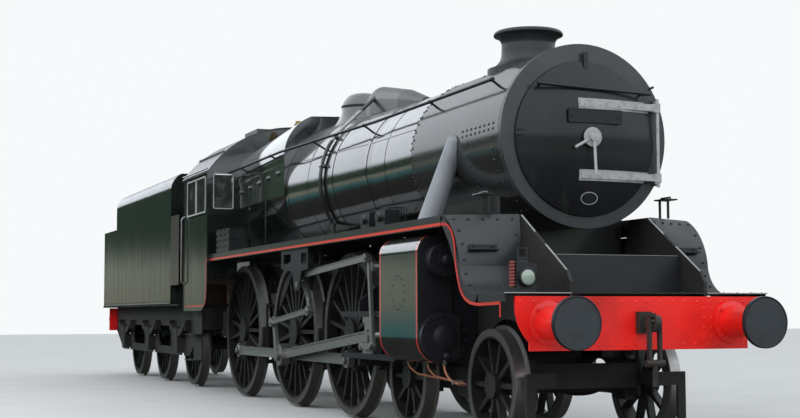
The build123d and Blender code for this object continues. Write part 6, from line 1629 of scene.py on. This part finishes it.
@dataclass
class Tender:
    """The tender: its tank's sheets, beading, rivets and the ladder behind."""

    half_width: float = 1.3
    front_x: float = -2.91
    rear_x: float = -9.06
    floor_z: float = 1.3286
    side_top: float = 3.1286
    top: float = 3.4286
    top_y: float = 1.13
    low_top: float = 2.7886
    high_rear_x: float = -7.73
    coal_rear_x: float = -7.38
    coal_slope: float = 1.5
    coal_half: float = 1.06
    coal_wall: float = 0.06
    coal_floor: float = 1.6686
    door: Pair = (0.3, 2.5286)
    wheel_recess: Pair = (1.15, 0.1)
    beam_x: float = -9.21
    beam_rows: tuple[Pair, ...] = ((0.9, 0.98), (1.255, 1.1))
    ladder: Pair = (0.55, 0.85)
    rivet_columns: int = 5

    def finishes(self) -> None:
        """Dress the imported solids."""
        # The tender's front sheets carry a painted brown reflection.
        dress(Coat.REFLECTED_BROWN, "tender_front")
        dress(Coat.UNDER, "bogie_frame", "tender_frame", "tender_springs")
        dress(Coat.RED, "tender_beam", "tender_buffer_stocks")
        dress(Coat.BUFFER, "tender_buffer_heads")
        dress(Coat.HOOK, "tender_drawgear")
        dress(Coat.FRAME, "tender_filler", "filler_lid")

    def tank(self) -> None:
        """Carry the tank's section along it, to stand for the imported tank.

        It has a low rear, high sides that curve in, a sloping coal space between them and a front wall with
        the coal door.
        """
        y, low, top = self.half_width, self.floor_z, self.top
        recess_y, recess = self.wheel_recess
        half_foot = [(recess_y, low + recess), (recess_y, low), (y, low)]
        foot = [(-a, b) for a, b in reversed(half_foot)] + half_foot
        curve = arc_through((y, self.side_top), (y - 0.04, self.side_top + 0.18), (self.top_y, top), 12)
        right = [(min(a, y), b) for a, b in curve]
        left = [(-a, b) for a, b in reversed(right)]
        door_y, door_z = self.door

        def along(*stations: tuple[float, Sequence[Pair]]) -> Shape:
            """Close a form through (x, outline) stations, rear to front; outlines turn left in (y, z)."""
            return skin(np.array([[(x, *p) for p in outline] for x, outline in stations]))

        def trough(floor: float) -> list[Pair]:
            """Give the section with the coal space open down to a floor."""
            c = self.coal_half
            return foot + right + [(c, top), (c, floor), (-c, floor), (-c, top)] + left

        def upright(bottom: float, head: float) -> list[Pair]:
            """Give the section of the wall as wide as the coal door between two heights."""
            return [(-door_y, bottom), (door_y, bottom), (door_y, head), (-door_y, head)]

        low_rear = foot + [(y, self.low_top), (-y, self.low_top)]
        slope_x, wall_x = self.front_x - self.coal_slope, self.front_x - self.coal_wall
        side = [(door_y, low), (y, low)] + right + [(door_y, top)]
        other = [(-a, b) for a, b in reversed(side)]
        front = (side, other, upright(low, self.coal_floor), upright(door_z, top))
        forms = [
            along((self.rear_x, low_rear), (self.high_rear_x, low_rear)),
            along((self.high_rear_x, foot + right + left), (self.coal_rear_x, foot + right + left)),
            along((self.coal_rear_x, trough(self.low_top + 0.1)), (slope_x, trough(self.coal_floor)),
                  (wall_x, trough(self.coal_floor))),
            *(along((wall_x, outline), (self.front_x, outline)) for outline in front),
        ]
        tank = build("tender_tank_sheets", forms, Coat.SIDE, Body.TENDER, smooth=30.0)
        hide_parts("tender_tank")

    def trim(self) -> None:
        """Bead the side sheets' lower edge and rivet their joints in fine upright rows."""
        y, z = self.half_width + 0.0008, self.floor_z
        bead = piped([(self.rear_x + 0.02, y, z + 0.012), (self.front_x - 0.02, y, z + 0.012)], 0.01)
        xs = np.linspace(self.rear_x + 0.05, self.front_x - 0.05, self.rivet_columns)
        tops = [self.low_top if x < self.high_rear_x else self.side_top for x in xs]
        spots = rows(0.055, *(((x, y, z + 0.06), (x, y, top - 0.05)) for x, top in zip(xs, tops)),
                     ((xs[0], y, z + 0.05), (xs[-1], y, z + 0.05)))
        build("tender_side_trim", [bead, rivets(Rivet.FINE, spots, Y)], Coat.FRAME, Body.TENDER, pair=True)

    def rear(self) -> None:
        """Fix a ladder, two lamp irons and rivets on the tank's rear, and rivet the rear beam."""
        x, out = self.rear_x, self.rear_x - 0.07
        pipes = [piped([(x, y, 1.5), (out, y, 1.52), (out, y, 2.7), (x, y, 2.74)], 0.012, 8, 0.03)
                 for y in self.ladder]
        pipes += [piped([(out, y, z) for y in self.ladder], 0.01) for z in np.arange(1.62, 2.7, 0.26)]
        pipes += [
            piped([(x, y, 1.9), (x - 0.05, y, 1.92), (x - 0.05, y, 2.06)], 0.011, 8, 0.02)
            for y in (-0.85, 0.0)
        ]
        build("tender_ladder", pipes, Coat.FRAME, Body.TENDER)
        spots = rows(0.06, *(((x, -1.2, z), (x, 1.2, z)) for z in (1.38, 2.74)),
                     *(((x, y, 1.4), (x, y, 2.72)) for y in (-1.22, -0.4, 0.4, 1.22)))
        build("tender_rear_rivets", rivets(Rivet.FINE, spots, BACK), Coat.SIDE, Body.TENDER)
        beam = rows(0.12, *(((self.beam_x, -half, z), (self.beam_x, half, z)) for z, half in self.beam_rows))
        build("tender_beam_rivets", rivets(Rivet.BEAM, beam, BACK), Coat.RED, Body.TENDER)

    def make(self) -> None:
        """Build the tender's dressing."""
        for step in (self.finishes, self.tank, self.trim, self.rear):
            step()


def main() -> None:
    """Build everything in order."""
    logging.basicConfig(level=logging.INFO, format="%(name)s: %(message)s")
    for piece in (
        FrontEnd(), Smokebox(), Boiler(), Running(), Cylinders(), Motion(), Cab(), Tender(), Studio()
    ):
        piece.make()
        LOG.info("%s done", type(piece).__name__)


if __name__ == "__main__":
    main()
